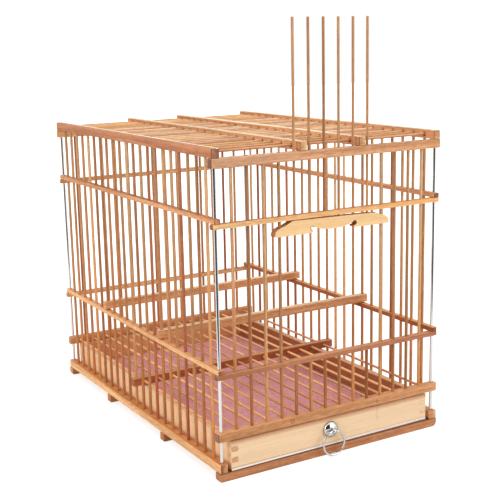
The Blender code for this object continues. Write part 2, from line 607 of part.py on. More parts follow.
def make_drawer():
    """A finger-jointed frame on a thin panel, with a fibre liner, a knob and a ring."""
    drawer = empty("drawer_slide", (DRAWER_X, BOX_FRONT, PANEL_BOTTOM))
    left = BOX_LEFT
    right = BOX_RIGHT
    top = BOX_BOTTOM + DRAWER_WALL_HEIGHT
    side_picks = range(0, FINGER_COUNT, 2)
    end_picks = range(1, FINGER_COUNT, 2)
    slot_depth = DRAWER_WALL + GAP
    ends = {}
    for name, near in (("drawer_front", BOX_FRONT), ("drawer_back", BOX_BACK - DRAWER_WALL)):
        far = near + DRAWER_WALL
        centre = Vector((DRAWER_X, (near + far) / 2, (BOX_BOTTOM + top) / 2))
        bm = bmesh.new()
        add_block(bm, Vector((left, near, BOX_BOTTOM)) - centre, Vector((right, far, top)) - centre)
        ends[name] = add_piece(name, bm, centre, DRAWER_WOOD, drawer)
        slots = finger_slots(left - OVERRUN, left + slot_depth, near - OVERRUN, far + OVERRUN, end_picks)
        slots += finger_slots(right - slot_depth, right + OVERRUN, near - OVERRUN, far + OVERRUN, end_picks)
        cut_boxes(ends[name], "slots", slots)
    for name, x_low in (("drawer_left", left), ("drawer_right", right - DRAWER_WALL)):
        x_high = x_low + DRAWER_WALL
        centre = Vector(((x_low + x_high) / 2, (BOX_FRONT + BOX_BACK) / 2, (BOX_BOTTOM + top) / 2))
        bm = bmesh.new()
        low = Vector((x_low, BOX_FRONT, BOX_BOTTOM))
        high = Vector((x_high, BOX_BACK, top))
        add_block(bm, low - centre, high - centre)
        side = add_piece(name, bm, centre, DRAWER_WOOD, drawer)
        wide = (x_low - OVERRUN, x_high + OVERRUN)
        slots = finger_slots(*wide, BOX_FRONT - OVERRUN, BOX_FRONT + slot_depth, side_picks)
        slots += finger_slots(*wide, BOX_BACK - slot_depth, BOX_BACK + OVERRUN, side_picks)
        cut_boxes(side, "slots", slots)

    panel_front = BOX_FRONT - TRAY_PANEL_LIP
    centre = Vector((DRAWER_X, (panel_front + BOX_BACK) / 2, PANEL_BOTTOM + TRAY_PANEL / 2))
    bm = bmesh.new()
    add_block(
        bm, Vector((left, panel_front, PANEL_BOTTOM)) - centre,
        Vector((right, BOX_BACK, PANEL_BOTTOM + TRAY_PANEL)) - centre)
    add_piece("drawer_bottom", bm, centre, TRAY_BOARD, drawer)

    inset = DRAWER_WALL + LINER_PLAY
    low = Vector((left + inset, BOX_FRONT + inset, BOX_BOTTOM))
    high = Vector((right - inset, BOX_BACK - inset, BOX_BOTTOM + LINER_THICKNESS))
    centre = (low + high) / 2
    bm = bmesh.new()
    add_block(bm, low - centre, high - centre)
    add_piece("tray_liner", bm, centre, LINER_FELT, drawer)

    knob_place = Vector((KNOB_X, BOX_FRONT - GAP, KNOB_HEIGHT))
    make_knob(drawer, knob_place)
    start = (KNOB_X, BOX_FRONT - OVERRUN, KNOB_HEIGHT)
    end = (KNOB_X, BOX_FRONT + DRAWER_WALL + OVERRUN, KNOB_HEIGHT)
    drill(ends["drawer_front"], "knob_bore", [(start, end, SHANK_DIAMETER)], BORE_STEPS)
    make_ring(drawer)


def knob_profile():
    """Radius and height above the drawer's face, from the eye's tip down to the shank's end."""
    dome = DOME_DIAMETER / 2
    eye = EYE_DIAMETER / 2
    shank = SHANK_DIAMETER / 2
    shank_end = -(GAP + DRAWER_WALL + GAP + NUT_THICKNESS + OVERRUN)
    tip = EYE_REACH + EYE_NOSE
    points = [(0, tip)]
    for i in range(1, 4):
        angle = math.radians(30 * i)
        points.append((eye * math.sin(angle), tip - eye + eye * math.cos(angle)))
    start = math.asin(eye / dome)
    for i in range(DOME_STEPS + 1):
        angle = start + (math.pi / 2 - start) * i / DOME_STEPS
        points.append((dome * math.sin(angle), DOME_EDGE + (DOME_HEIGHT - DOME_EDGE) * math.cos(angle)))
    points += [(dome, 0), (shank, 0), (shank, shank_end), (0, shank_end)]
    return points


def make_knob(drawer, place):
    """A turned knob whose axis points forward, cross-bored for the ring, and its nut behind the drawer front."""
    mesh = bpy.data.meshes.new("drawer_knob")
    bm = bmesh.new()
    last = None
    for radius, height in knob_profile():
        vert = bm.verts.new((radius, 0, height))
        if last is not None:
            bm.edges.new((last, vert))
        last = vert
    bm.to_mesh(mesh)
    bm.free()
    mesh.materials.append(CHROME)
    knob = bpy.data.objects.new("drawer_knob", mesh)
    CAGE.objects.link(knob)
    knob.rotation_euler = (math.pi / 2, 0, 0)
    knob.location = place - drawer.location
    knob.parent = drawer
    screw = knob.modifiers.new("turn", "SCREW")
    screw.steps = TURN_STEPS
    screw.render_steps = TURN_STEPS
    screw.use_merge_vertices = True
    screw.merge_threshold = GAP / 10
    reach = EYE_DIAMETER / 2 + OVERRUN
    ends = ((KNOB_X - reach, EYE_Y, KNOB_HEIGHT), (KNOB_X + reach, EYE_Y, KNOB_HEIGHT))
    bm = bmesh.new()
    add_rod(bm, *ends, EYE_BORE, BORE_STEPS)
    combine(knob, add_helper("drawer_knob_eye_bore", bm), "DIFFERENCE")

    inner_face = BOX_FRONT + DRAWER_WALL + GAP
    start = Vector((KNOB_X, inner_face, KNOB_HEIGHT))
    end = Vector((KNOB_X, inner_face + NUT_THICKNESS, KNOB_HEIGHT))
    centre = (start + end) / 2
    bm = bmesh.new()
    add_rod(bm, start - centre, end - centre, NUT_WIDTH, 6)
    nut = add_piece("knob_nut", bm, centre, STEEL, drawer)
    step = Vector((0, OVERRUN, 0))
    drill(nut, "bore", [(start - step, end + step, SHANK_DIAMETER)], BORE_STEPS)


def make_ring(drawer):
    """The ring hangs in the knob's eye; its own origin is on the hinge line."""
    bpy.ops.mesh.primitive_torus_add(
        major_segments=RING_STEPS, minor_segments=RING_WIRE_STEPS, major_radius=RING_RADIUS,
        minor_radius=RING_WIRE / 2)
    ring = bpy.context.active_object
    ring.name = "pull_ring"
    ring.data.name = "pull_ring"
    ring.data.transform(Matrix.Translation((0, 0, -RING_RADIUS)) @ Matrix.Rotation(math.pi / 2, 4, "X"))
    ring.data.materials.append(CHROME)
    for collection in list(ring.users_collection):
        collection.objects.unlink(ring)
    CAGE.objects.link(ring)
    ring.location = Vector((KNOB_X, EYE_Y, KNOB_HEIGHT)) - drawer.location
    ring.parent = drawer


make_feet()
make_side("left", -HALF_X, LEFT_CORNERS)
make_side("right", HALF_X, RIGHT_CORNERS)
make_rear()
make_front()
make_roof()
make_rods()
make_grate()
make_perches()
make_door()
make_drawer()
for solid in CAGE.objects:
    if solid.type == "MESH" and solid.name in {"drawer_knob", "pull_ring"}:
        solid.data.shade_smooth()
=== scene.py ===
# %% [markdown]
# A bamboo bird cage with a lifting door and a drawer.
# The imported model gives every size here: each piece is built between the corners of the solid that it
# stands for, so nothing has to be fitted by eye. We load that model first.

# %% Load the frame
import math
import random

import bmesh
import bpy
from mathutils import Matrix, Vector


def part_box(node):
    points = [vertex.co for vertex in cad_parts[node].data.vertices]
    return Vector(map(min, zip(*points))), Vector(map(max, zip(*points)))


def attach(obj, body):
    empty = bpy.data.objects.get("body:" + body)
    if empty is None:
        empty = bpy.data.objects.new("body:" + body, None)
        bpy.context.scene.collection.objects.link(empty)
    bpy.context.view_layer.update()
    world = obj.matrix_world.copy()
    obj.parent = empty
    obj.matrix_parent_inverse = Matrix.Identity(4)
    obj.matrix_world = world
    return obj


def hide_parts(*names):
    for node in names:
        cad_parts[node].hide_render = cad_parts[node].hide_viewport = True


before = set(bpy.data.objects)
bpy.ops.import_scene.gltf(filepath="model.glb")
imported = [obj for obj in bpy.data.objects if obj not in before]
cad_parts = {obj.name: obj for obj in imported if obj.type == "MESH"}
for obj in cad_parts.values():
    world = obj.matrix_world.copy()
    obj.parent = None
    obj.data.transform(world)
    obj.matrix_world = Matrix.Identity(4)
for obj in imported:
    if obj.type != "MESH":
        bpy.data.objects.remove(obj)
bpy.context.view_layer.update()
MM = 0.001

# %% [markdown]
# The photograph was taken from the front left, a little above the cage's middle, with a fairly long lens.
# The camera could be aimed with a Track To constraint, but three turns, fitted to some forty points of the
# cage, say exactly where it looks, so its axes are written as a matrix. The lens is for a square picture.

# %% Camera
CAMERA_PLACE = Vector((-0.5247, -0.92017, 0.38634))
CAMERA_YAW = -0.53203
CAMERA_PITCH = -0.20552
CAMERA_ROLL = -0.02097
SENSOR = 36.0
LENS = 73.26
CAGE_MIDDLE = Vector((0, 0, 0.15))


def aim_camera():
    ahead = Vector((
        -math.sin(CAMERA_YAW) * math.cos(CAMERA_PITCH),
        math.cos(CAMERA_YAW) * math.cos(CAMERA_PITCH),
        math.sin(CAMERA_PITCH)))
    level = Vector((math.cos(CAMERA_YAW), math.sin(CAMERA_YAW), 0))
    above = level.cross(ahead)
    right = math.cos(CAMERA_ROLL) * level + math.sin(CAMERA_ROLL) * above
    up = math.cos(CAMERA_ROLL) * above - math.sin(CAMERA_ROLL) * level
    turn = Matrix((right, up, -ahead)).transposed().to_4x4()
    return Matrix.Translation(CAMERA_PLACE) @ turn


lens = bpy.data.cameras.new("camera")
lens.sensor_width = SENSOR
lens.lens = LENS
lens.clip_start = 0.02
lens.clip_end = 20.0
camera = bpy.data.objects.new("camera", lens)
camera.matrix_world = aim_camera()
bpy.context.scene.collection.objects.link(camera)
bpy.context.scene.camera = camera
print("camera stands", round((CAMERA_PLACE - CAGE_MIDDLE).length, 3), "m from the cage")

# %% [markdown]
# Shader nodes are easier to read as arithmetic. The small class below wraps one output socket, so that
# adding, subtracting or multiplying two of them adds a Math node.

# %% Arithmetic with nodes
class Wire:
    """One output of a node, with arithmetic that adds Math nodes."""

    def __init__(self, bench, socket):
        self.bench = bench
        self.socket = socket

    def math(self, operation, first, second=None):
        sockets = {0: first}
        if second is not None:
            sockets[1] = second
        return self.bench.node("ShaderNodeMath", {"operation": operation}, sockets)

    def __add__(self, other):
        return self.math("ADD", self, other)

    def __radd__(self, other):
        return self.math("ADD", other, self)

    def __sub__(self, other):
        return self.math("SUBTRACT", self, other)

    def __rsub__(self, other):
        return self.math("SUBTRACT", other, self)

    def __mul__(self, other):
        return self.math("MULTIPLY", self, other)

    def size(self):
        """This value without its sign."""
        return self.math("ABSOLUTE", self)

    def highest(self, other):
        """This value or the other, whichever is higher."""
        return self.math("MAXIMUM", self, other)

    def length(self):
        """How long this vector is."""
        return self.bench.node("ShaderNodeVectorMath", {"operation": "LENGTH"}, {0: self}, out="Value")

    def between(self, low, high):
        """0 where this is low or less, 1 where it is high or more, and smooth between."""
        settings = {"interpolation_type": "SMOOTHSTEP"}
        sockets = {"Value": self, "From Min": low, "From Max": high}
        return self.bench.node("ShaderNodeMapRange", settings, sockets)


print("a wire can be added, subtracted, multiplied, measured and compared")

# %% [markdown]
# The second class is the bench that nodes are put together on. One method adds any node, settings first and
# sockets after; the others are for the nodes that nearly every finish needs. A Mix node has sockets for
# numbers, vectors and colours side by side, so the four numbers below say which of them are the colours'.

# %% A bench for nodes
MIX_FACTOR = 0
MIX_FIRST = 6
MIX_SECOND = 7
MIX_RESULT = 2


class Bench:
    """The nodes of a material or of the sky, while they are put together."""

    def __init__(self, owner):
        owner.use_nodes = True
        self.owner = owner
        self.tree = owner.node_tree
        self.tree.nodes.clear()

    def feed(self, socket, value):
        if isinstance(value, Wire):
            self.tree.links.new(value.socket, socket)
        else:
            socket.default_value = value

    def node(self, kind, settings=None, sockets=None, out=0):
        made = self.tree.nodes.new(kind)
        for key, value in (settings or {}).items():
            setattr(made, key, value)
        for key, value in (sockets or {}).items():
            self.feed(made.inputs[key], value)
        return Wire(self, made.outputs[out])

    def mix(self, factor, first, second, blend="MIX"):
        settings = {"data_type": "RGBA", "blend_type": blend}
        sockets = {MIX_FACTOR: factor, MIX_FIRST: first, MIX_SECOND: second}
        return self.node("ShaderNodeMix", settings, sockets, out=MIX_RESULT)

    def tinted(self, first, second):
        """One colour times another."""
        return self.mix(1.0, first, second, "MULTIPLY")

    def place(self):
        """Where a point is on its piece, in metres."""
        return self.node("ShaderNodeTexCoord", out="Object")

    def outlook(self):
        """Which way the surface looks, in the piece's own axes."""
        return self.node("ShaderNodeTexCoord", out="Normal")

    def noise(self, place, scale, detail):
        return self.node("ShaderNodeTexNoise", None, {"Vector": place, "Scale": scale, "Detail": detail})

    def bump(self, height, strength, distance):
        sockets = {"Height": height, "Strength": strength, "Distance": distance}
        return self.node("ShaderNodeBump", None, sockets)

    def ray(self, kind):
        """1 where a ray of this kind asks, 0 for all other rays."""
        return self.node("ShaderNodeLightPath", out=f"Is {kind} Ray")


class Finish(Bench):
    """A material while it is made: a Principled shader and the nodes that feed it."""

    def __init__(self, name):
        super().__init__(bpy.data.materials.new(name))
        self.shader = self.tree.nodes.new("ShaderNodeBsdfPrincipled")
        self.output = self.tree.nodes.new("ShaderNodeOutputMaterial")
        self.tree.links.new(self.shader.outputs[0], self.output.inputs[0])

    def finish(self, **sockets):
        for key, value in sockets.items():
            self.feed(self.shader.inputs[key.replace("_", " ")], value)
        print("finish", self.owner.name, "has", len(self.tree.nodes), "nodes")
        return self.owner


# %% [markdown]
# Colours are easiest to name as they look on a screen, from 0 to 255, while shaders want linear light. One
# function turns the first into the second, by the curve that screens use. Wood never has one colour, so the
# palette is a list of stains: pale new wood for the drawer, honey and amber for planed rails, grey and red
# browns for cut ends and shaded sides, nearly black for painted shade in holes, and four reeds for the
# bamboo.

# %% Stains
def linear(red, green, blue):
    """A screen colour as linear light."""
    light = []
    for value in (red, green, blue):
        share = value / 255
        light.append(share / 12.92 if share <= 0.04045 else ((share + 0.055) / 1.055) ** 2.4)
    return tuple(light)


STAINS = {
    "cream": linear(253, 219, 178),
    "pale": linear(246, 205, 163),
    "honey": linear(238, 182, 126),
    "amber": linear(216, 154, 106),
    "tan": linear(196, 133, 90),
    "umber": linear(172, 98, 54),
    "bark": linear(132, 78, 50),
    "dusk": linear(124, 92, 88),
    "reed": linear(204, 142, 88),
    "reed pale": linear(224, 166, 110),
    "reed deep": linear(184, 118, 68),
    "reed red": linear(174, 100, 58),
    "board": linear(254, 210, 152),
    "white": linear(252, 247, 240),
    "smoke": linear(152, 114, 98),
    "straw": linear(255, 208, 150),
    "rose": linear(234, 174, 134),
    "clay": linear(190, 126, 86),
    "finger": linear(224, 176, 128),
    "inside": linear(178, 120, 80),
    "ginger": linear(212, 142, 82),
    "nut": linear(200, 140, 92),
    "apricot": linear(228, 165, 114),
    "orange": linear(255, 187, 116),
    "russet": linear(190, 124, 84),
    "blush": linear(207, 155, 119),
    "mauve": linear(176, 112, 84),
    "milk": linear(255, 236, 202),
    "petal": linear(219, 175, 146),
}
print("stains:", ", ".join(STAINS))

# %% [markdown]
# Wood is drawn by noise that is stretched along the grain. On a real rail the fibres run its whole length,
# so the pattern has to follow the rail's own axis: the Mapping node squeezes the object coordinates across
# the grain and lets them run along it, and end grain then shows as dots without any extra work. The stain
# itself is an attribute of each piece, whose fourth number shifts the noise, so that no two sticks match.
#
# Each layer of grain has four numbers: its waves to the metre along the grain, its waves across, its detail,
# and how far it is shifted, so that the layers don't lie on one another. Broad bands and fine fibres give the
# light and dark, pores are burnt specks, and mottle and glint darken and brighten short stretches. Only the
# drawer's wood shows rings, as thin darker lines.

# %% Layers of grain
GRAIN = {
    "bands": (5, 160, 1, 0),
    "fibres": (16, 850, 2, 11),
    "pores": (70, 2400, 1, 23),
    "rings": (4, 1000, 1, 31),
    "mottle": (150, 520, 2, 41),
    "glint": (90, 640, 2, 53),
}
SHIFT_REACH = 40
GRAIN_ROUGHNESS = 0.6
DEEPER = (0.32, 0.40, 0.48)
BRIGHTER = (0.24, 0.28, 0.30)
MOTTLE_TINT = (0.72, 0.62, 0.55, 1)
GLINT_TINT = (1.36, 1.42, 1.45, 1)
BURNT = (*STAINS["bark"], 1)


def squeeze(along, lengthwise, crosswise):
    """Scales for a Mapping node: few waves to the metre along the grain, many across it."""
    scales = [crosswise, crosswise, crosswise]
    scales[along] = lengthwise
    return tuple(scales)


def knot_mark(bench, place, fibres, where, size, mark):
    """How dark a knot makes the wood: a ring round a paler heart, ragged where fibres cross it."""
    sockets = {"Vector": place, "Location": where, "Scale": size}
    local = bench.node("ShaderNodeMapping", {"vector_type": "TEXTURE"}, sockets)
    reach = local.length() + fibres * 0.5
    ring = reach.between(0.75, 1.05) * (1 - reach.between(1.25, 1.6))
    heart = 1 - reach.between(0.35, 0.6)
    return ring * mark + heart * (0.5 * mark)


print("grain has", len(GRAIN), "layers")

# %% [markdown]
# All wood and bamboo comes from one recipe. Contrast says how far light and dark grain lie apart, fleck how
# strong the pores are, coat how much varnish or polish lies on it, and line how strong the rings are. Cut
# ends take a few burnt blotches, which the surface's own direction finds.

# %% Wood with grain along one axis
def wood(name, along, contrast, fleck=1.0, roughness=0.5, coat=0.05, line=0.0, knots=()):
    bench = Finish(name)
    place = bench.place()
    stain = bench.node("ShaderNodeAttribute", {"attribute_name": "stain"}, out="Color")
    shift = bench.node("ShaderNodeAttribute", {"attribute_name": "stain"}, out="Alpha")

    def grain(layer):
        lengthwise, crosswise, detail, step = GRAIN[layer]
        sockets = {"Vector": place, "Scale": squeeze(along, lengthwise, crosswise)}
        stretched = bench.node("ShaderNodeMapping", None, sockets)
        sockets = {"Vector": stretched, "W": shift * SHIFT_REACH + step, "Scale": 1.0, "Detail": detail,
                   "Roughness": GRAIN_ROUGHNESS}
        return bench.node("ShaderNodeTexNoise", {"noise_dimensions": "4D"}, sockets)

    fibres = grain("fibres")
    light = grain("bands").between(0.3, 0.7) * 0.5 + fibres.between(0.25, 0.75) * 0.5
    if line:
        light = light - grain("rings").between(0.50, 0.66) * line
    deep = (*[1 - part * contrast for part in DEEPER], 1)
    bright = (*[1 + part * contrast for part in BRIGHTER], 1)
    coloured = bench.tinted(stain, bench.mix(light, deep, bright))
    mottle = grain("mottle").between(0.42, 0.66) * (0.4 * contrast)
    coloured = bench.mix(mottle, coloured, bench.tinted(stain, MOTTLE_TINT))
    glint = grain("glint").between(0.52, 0.68) * (0.4 * contrast)
    coloured = bench.mix(glint, coloured, bench.tinted(stain, GLINT_TINT))

    lengthwise_look = bench.node("ShaderNodeSeparateXYZ", None, {0: bench.outlook()}, out=along)
    cut_end = lengthwise_look.size().between(0.7, 0.95)
    blotch = bench.noise(place, 420, 2).between(0.48, 0.60)
    coloured = bench.mix(cut_end * blotch * 0.3, coloured, BURNT)
    pores = grain("pores").between(0.60, 0.74)
    coloured = bench.mix(pores * (0.45 * fleck), coloured, BURNT)
    for where, size, mark in knots:
        coloured = bench.mix(knot_mark(bench, place, fibres, where, size, mark), coloured, BURNT)
    return bench.finish(
        Base_Color=coloured, Roughness=roughness + (1 - light) * 0.14, Coat_Weight=coat, Coat_Roughness=0.28,
        Specular_IOR_Level=0.3, Normal=bench.bump(fibres * 0.7 - pores * 0.6, 0.35, 0.15 * MM))


# %% [markdown]
# The rails need the recipe along two axes and the sticks along three. One rail has two knots in its face and
# the drawer's front has a faint tall one; each knot has its place, its half sizes and its strength.

# %% Woods of the cage
RAIL_ALONG = [wood("rail wood across", 0, contrast=1.2), wood("rail wood front to back", 1, contrast=1.2)]
KNOTTY_WOOD = wood(
    "rail wood with two knots", 0, contrast=1.2,
    knots=[((-0.0470, -0.1793, 0.0415), (1.9 * MM, 1.2 * MM, 1.9 * MM), 0.75),
           ((0.0500, -0.1793, 0.0410), (1.3 * MM, 1.2 * MM, 1.7 * MM), 0.75)])
STICK_ALONG = [
    wood(f"bamboo stick {way}", along, contrast=1.15, fleck=1.2, roughness=0.36, coat=0.3)
    for along, way in enumerate(("across", "front to back", "upright"))]
BOARD_WOOD = wood("carved board wood", 0, contrast=0.35, fleck=0.35, coat=0.1)
DRAWER_ALONG = [
    wood("drawer wood across", 0, contrast=0.2, fleck=0.25, roughness=0.55, coat=0.0, line=0.5,
         knots=[((0.0505, -0.1793, 0.029), (1.1 * MM, 2 * MM, 6 * MM), 0.2)]),
    wood("drawer wood front to back", 1, contrast=0.2, fleck=0.25, roughness=0.55, coat=0.0, line=0.5),
]

# %% [markdown]
# Three finishes aren't wood. The corner rods are drawn wire, with faint lines along them. The pull is
# polished chrome, which is mostly what it mirrors, so its nodes break the polish with a few smudges. Its
# colour also holds a painted reflection: it stays bright where the surface looks along one line, to the front
# left or away from it, and the sides between are painted nearly black. The tray's panel is a thin board with
# a white face, speckled where it was sawn.

# %% Steel, chrome and the white panel
BRIGHT_REFLECTION_AXIS = (-0.47, -0.83, 0.30)
PAINTED_DARK_REFLECTION = (0.06, 0.06, 0.07, 1)
SMUDGE_DEPTH = 0.86


def metal(name, colour, roughness, spread, waves, dark_reflection=0.0):
    bench = Finish(name)
    stretched = bench.node("ShaderNodeMapping", None, {"Vector": bench.place(), "Scale": waves})
    tone = bench.noise(stretched, 1.0, 3).between(0.3, 0.7)
    shade = bench.mix(tone, (*[SMUDGE_DEPTH * part for part in colour], 1), (*colour, 1))
    # Painted reflection: the sides that look across the bright axis are painted nearly black.
    if dark_reflection:
        sockets = {0: bench.outlook(), 1: BRIGHT_REFLECTION_AXIS}
        facing_axis = bench.node("ShaderNodeVectorMath", {"operation": "DOT_PRODUCT"}, sockets, out="Value")
        painted_dark = 1 - facing_axis.size().between(0.25, 0.75)
        shade = bench.mix(painted_dark * dark_reflection, shade, PAINTED_DARK_REFLECTION)
    return bench.finish(
        Base_Color=shade, Metallic=1.0, Roughness=roughness + tone * spread,
        Normal=bench.bump(tone, 0.05, 0.05 * MM))


def panel_board():
    bench = Finish("tray panel board")
    stain = bench.node("ShaderNodeAttribute", {"attribute_name": "stain"}, out="Color")
    speck = bench.noise(bench.place(), 1400, 3)
    shade = bench.mix(speck.between(0.35, 0.6), (0.92, 0.90, 0.87, 1), (1.05, 1.05, 1.05, 1))
    return bench.finish(
        Base_Color=bench.tinted(stain, shade), Roughness=0.6 + speck * 0.15,
        Normal=bench.bump(speck, 0.3, 0.1 * MM))


ROD_STEEL = metal("corner rod steel", (0.88, 0.88, 0.86), 0.06, 0.06, (300, 300, 12))
PULL_CHROME = metal("pull chrome", (0.76, 0.76, 0.75), 0.04, 0.05, (220, 220, 220), 0.8)
PANEL_BOARD = panel_board()

# %% [markdown]
# The liner is a mat of short pink fibres pressed flat. Four noises, each stretched along its own direction,
# lie over one another like the fibres do, and where the highest of them is high a fibre is pale. A rounder
# noise is the fluff between: where it is low the mat is deep and its fibres fade. The fibres also feed the
# bump, so that the mat looks matt and a little hairy.

# %% Fibre mat
FIBRE_TURNS = ((0.3, 0), (1.1, 3), (1.9, 7), (2.6, 11))
FIBRE_WAVES = (120, 1500, 400)
MAT_DEEP = (*linear(255, 164, 172), 1)
MAT_PALE = (*linear(255, 188, 192), 1)
MAT_SHADOW = (0.82, 0.74, 0.77, 1)
FIBRE_PALE = (*linear(255, 214, 212), 1)


def fibre_mat():
    bench = Finish("fibre mat")
    place = bench.place()
    strands = None
    for turn, step in FIBRE_TURNS:
        sockets = {"Vector": place, "Rotation": (0, 0, turn), "Scale": FIBRE_WAVES, "Location": (step, 0, 0)}
        strand = bench.noise(bench.node("ShaderNodeMapping", None, sockets), 1.0, 2).between(0.5, 0.68)
        strands = strands.highest(strand) if strands else strand
    ground = bench.mix(bench.noise(place, 60, 3).between(0.3, 0.7), MAT_DEEP, MAT_PALE)
    fluff = bench.noise(place, 760, 2)
    ground = bench.mix(fluff.between(0.35, 0.62), bench.tinted(ground, MAT_SHADOW), ground)
    shade = bench.mix(strands * fluff.between(0.3, 0.6), ground, FIBRE_PALE)
    return bench.finish(
        Base_Color=shade, Roughness=0.95, Specular_IOR_Level=0.2, Normal=bench.bump(strands, 0.6, 0.3 * MM))


LINER_MAT = fibre_mat()

# %% [markdown]
# The stain is painted on the loops of each face, by the way that the face looks, because a rail's top, side
# and cut end differ, partly in their own colour and partly in painted light and shade. The walls of holes are
# painted dark, as painted shade. A cut end or a long face may also run from one stain to another.

# %% Painting
DICE = random.Random(4)
SIDES = ["left", "right", "front", "back", "bottom", "top"]
BORE_MARGIN = 0.3 * MM


def facing(normal):
    """The name of the side that a face looks to."""
    axis = max(range(3), key=lambda i: abs(normal[i]))
    return SIDES[2 * axis + (normal[axis] > 0)]


def paint(bm, faces, looks, depth=1.0):
    """Stain faces by the side they look to; "all" is the stain of sides that looks doesn't name."""
    layer = bm.loops.layers.float_color.get("stain") or bm.loops.layers.float_color.new("stain")
    shift = DICE.random()
    for face in faces:
        stain = STAINS[looks.get(facing(face.normal), looks["all"])]
        for loop in face.loops:
            loop[layer] = (*[depth * c for c in stain], shift)


def shade_bores(bm, low, high):
    """Paint shade on the walls of holes: the faces that lie inside the bar's own box."""
    inside = []
    for face in bm.faces:
        centre = face.calc_center_median()
        if all(low[i] + BORE_MARGIN < centre[i] < high[i] - BORE_MARGIN for i in range(3)):
            inside.append(face)
    paint(bm, inside, {"all": "bark"}, 0.8)


def shade_across(bm, look, axis, first, second):
    """Run from one stain to another along an axis, on the faces that look one way."""
    layer = bm.loops.layers.float_color["stain"]
    faces = [f for f in bm.faces if facing(f.normal) == look]
    places = [v.co[axis] for f in faces for v in f.verts]
    low, high = min(places), max(places)
    for face in faces:
        for loop in face.loops:
            share = (loop.vert.co[axis] - low) / (high - low)
            mixed = [a + (b - a) * share for a, b in zip(STAINS[first], STAINS[second])]
            loop[layer] = (*mixed, loop[layer][3])


print("holes are stained dark", round(BORE_MARGIN / MM, 2), "mm inside the faces")

# %% [markdown]
# Every piece ends the same way: its mesh becomes an object with one finish, it is hung on the body that it
# rides on, and the solid that it stands for is hidden.

# %% Finishing a piece
def shown(name, bm, material=None):
    """Turn a mesh under work into an object of the scene."""
    mesh = bpy.data.meshes.new(name)
    bm.to_mesh(mesh)
    bm.free()
    if material:
        mesh.materials.append(material)
    thing = bpy.data.objects.new(name, mesh)
    bpy.context.scene.collection.objects.link(thing)
    return thing


def finish_piece(name, bm, material, body, nodes):
    piece = shown(name, bm, material)
    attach(piece, body)
    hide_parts(*nodes)
    print(f"{name}: {len(piece.data.polygons)} faces")
    return piece


def rail_piece(name, bm, finish, node):
    finish_piece(name, bm, finish, "cage", [node])


def corners(node):
    low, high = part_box(node)
    return Vector(low), Vector(high)


def middle(node):
    low, high = corners(node)
    return (low + high) / 2


print("the drawer is", round((corners("drawer_front")[1] - corners("drawer_front")[0]).x / MM, 1), "mm wide")

# %% [markdown]
# A rail is a planed bar whose edges were just broken with sandpaper. It starts as a cube that is scaled to
# length; then the upright corners at its ends are rounded, and last a fine bevel runs along every edge that
# is still sharp. That fine edge is a third of a millimetre, yet it is what catches the light. An edge counts
# as sharp when the two faces beside it turn by more than a given angle, in radians.

# %% Bars
EDGE = 0.35 * MM
END_ROUND = 1.3 * MM
SHARP = 0.6
SAME_PLACE = 0.01 * MM


def sharp_edges(bm, angle=SHARP):
    return [e for e in bm.edges if len(e.link_faces) == 2 and e.calc_face_angle(0) > angle]


def bevel(bm, edges, size, segments, clamp=False):
    bmesh.ops.bevel(
        bm, geom=edges, offset=size, segments=segments, profile=0.5, affect="EDGES", material=-1,
        clamp_overlap=clamp)


def soften(bm, size=EDGE, segments=2):
    bevel(bm, sharp_edges(bm), size, segments, clamp=True)
    bmesh.ops.recalc_face_normals(bm, faces=bm.faces)


def block(low, high):
    bm = bmesh.new()
    made = bmesh.ops.create_cube(bm, size=1.0)
    bmesh.ops.scale(bm, verts=made["verts"], vec=high - low)
    bmesh.ops.translate(bm, verts=made["verts"], vec=(low + high) / 2)
    return bm


def end_corners(bm, along, across, side, reach):
    """Edges at one end of a bar (side -1 or 1) that run along the axis across, where reach says so."""
    far = max(side * v.co[along] for v in bm.verts)
    found = []
    for edge in bm.edges:
        first, second = (v.co for v in edge.verts)
        at_end = all(far - side * p[along] < SAME_PLACE for p in (first, second))
        if at_end and abs((first - second).normalized()[across]) > 0.9 and reach(first):
            found.append(edge)
    return found


def bar(low, high, along):
    bm = block(low, high)
    for side in (-1, 1):
        bevel(bm, end_corners(bm, along, 2, side, lambda p: True), END_ROUND, 3)
    soften(bm)
    return bm


print("edges are broken by", round(EDGE / MM, 2), "mm, ends rounded by", round(END_ROUND / MM, 2), "mm")

# %% [markdown]
# Round things start from one helper too: a stack of circles with faces between them. The two rings next to
# an end lie close together. That narrow collar keeps the smooth shading level, which would otherwise bend
# the mirrored light along the whole bar. Only a nut, with six sides, keeps its flats.

# %% Round bars
COLLAR = 0.25 * MM
FLAT_SIDES = 6


def add_round(bm, start, end, diameter, sides=12, broken=0.0):
    """A closed round bar from start to end, its end edges broken by so much; gives back its faces."""
    turn = (end - start).to_track_quat("Z", "Y").to_matrix().to_4x4()
    length = (end - start).length
    radius = diameter / 2
    collar = broken + COLLAR
    steps = [(broken, radius), (collar, radius), (length - collar, radius), (length - broken, radius)]
    if broken:
        steps = [(0, radius - broken), *steps, (length, radius - broken)]
    rings = []
    for distance, reach in steps:
        place = Matrix.Translation(start) @ turn @ Matrix.Translation((0, 0, distance))
        rings.append(bmesh.ops.create_circle(bm, segments=sides, radius=reach, matrix=place)["verts"])
    faces = [bm.faces.new(list(reversed(rings[0]))), bm.faces.new(rings[-1])]
    for (_, near), (_, far), lower, upper in zip(steps, steps[1:], rings, rings[1:]):
        for i in range(sides):
            j = (i + 1) % sides
            faces.append(bm.faces.new((lower[i], lower[j], upper[j], upper[i])))
            faces[-1].smooth = near == far and sides > FLAT_SIDES
    return faces


print("round bars have collars of", round(COLLAR / MM, 2), "mm")

# %% [markdown]
# The rails are threaded on the sticks, so they have real holes. A Boolean modifier cuts them cleanly: the bar
# and the drills are put in the scene for a moment, the cut mesh is read back, and both are thrown away. The
# drills are a little wider than the sticks, which leaves the thin dark gap that shows round each stick.

# %% Holes
ROD_HOLE = 3.6 * MM
STICK_HOLE = 3.5 * MM
DOOR_HOLE = 3.0 * MM
ROOF_HOLE = 4.2 * MM


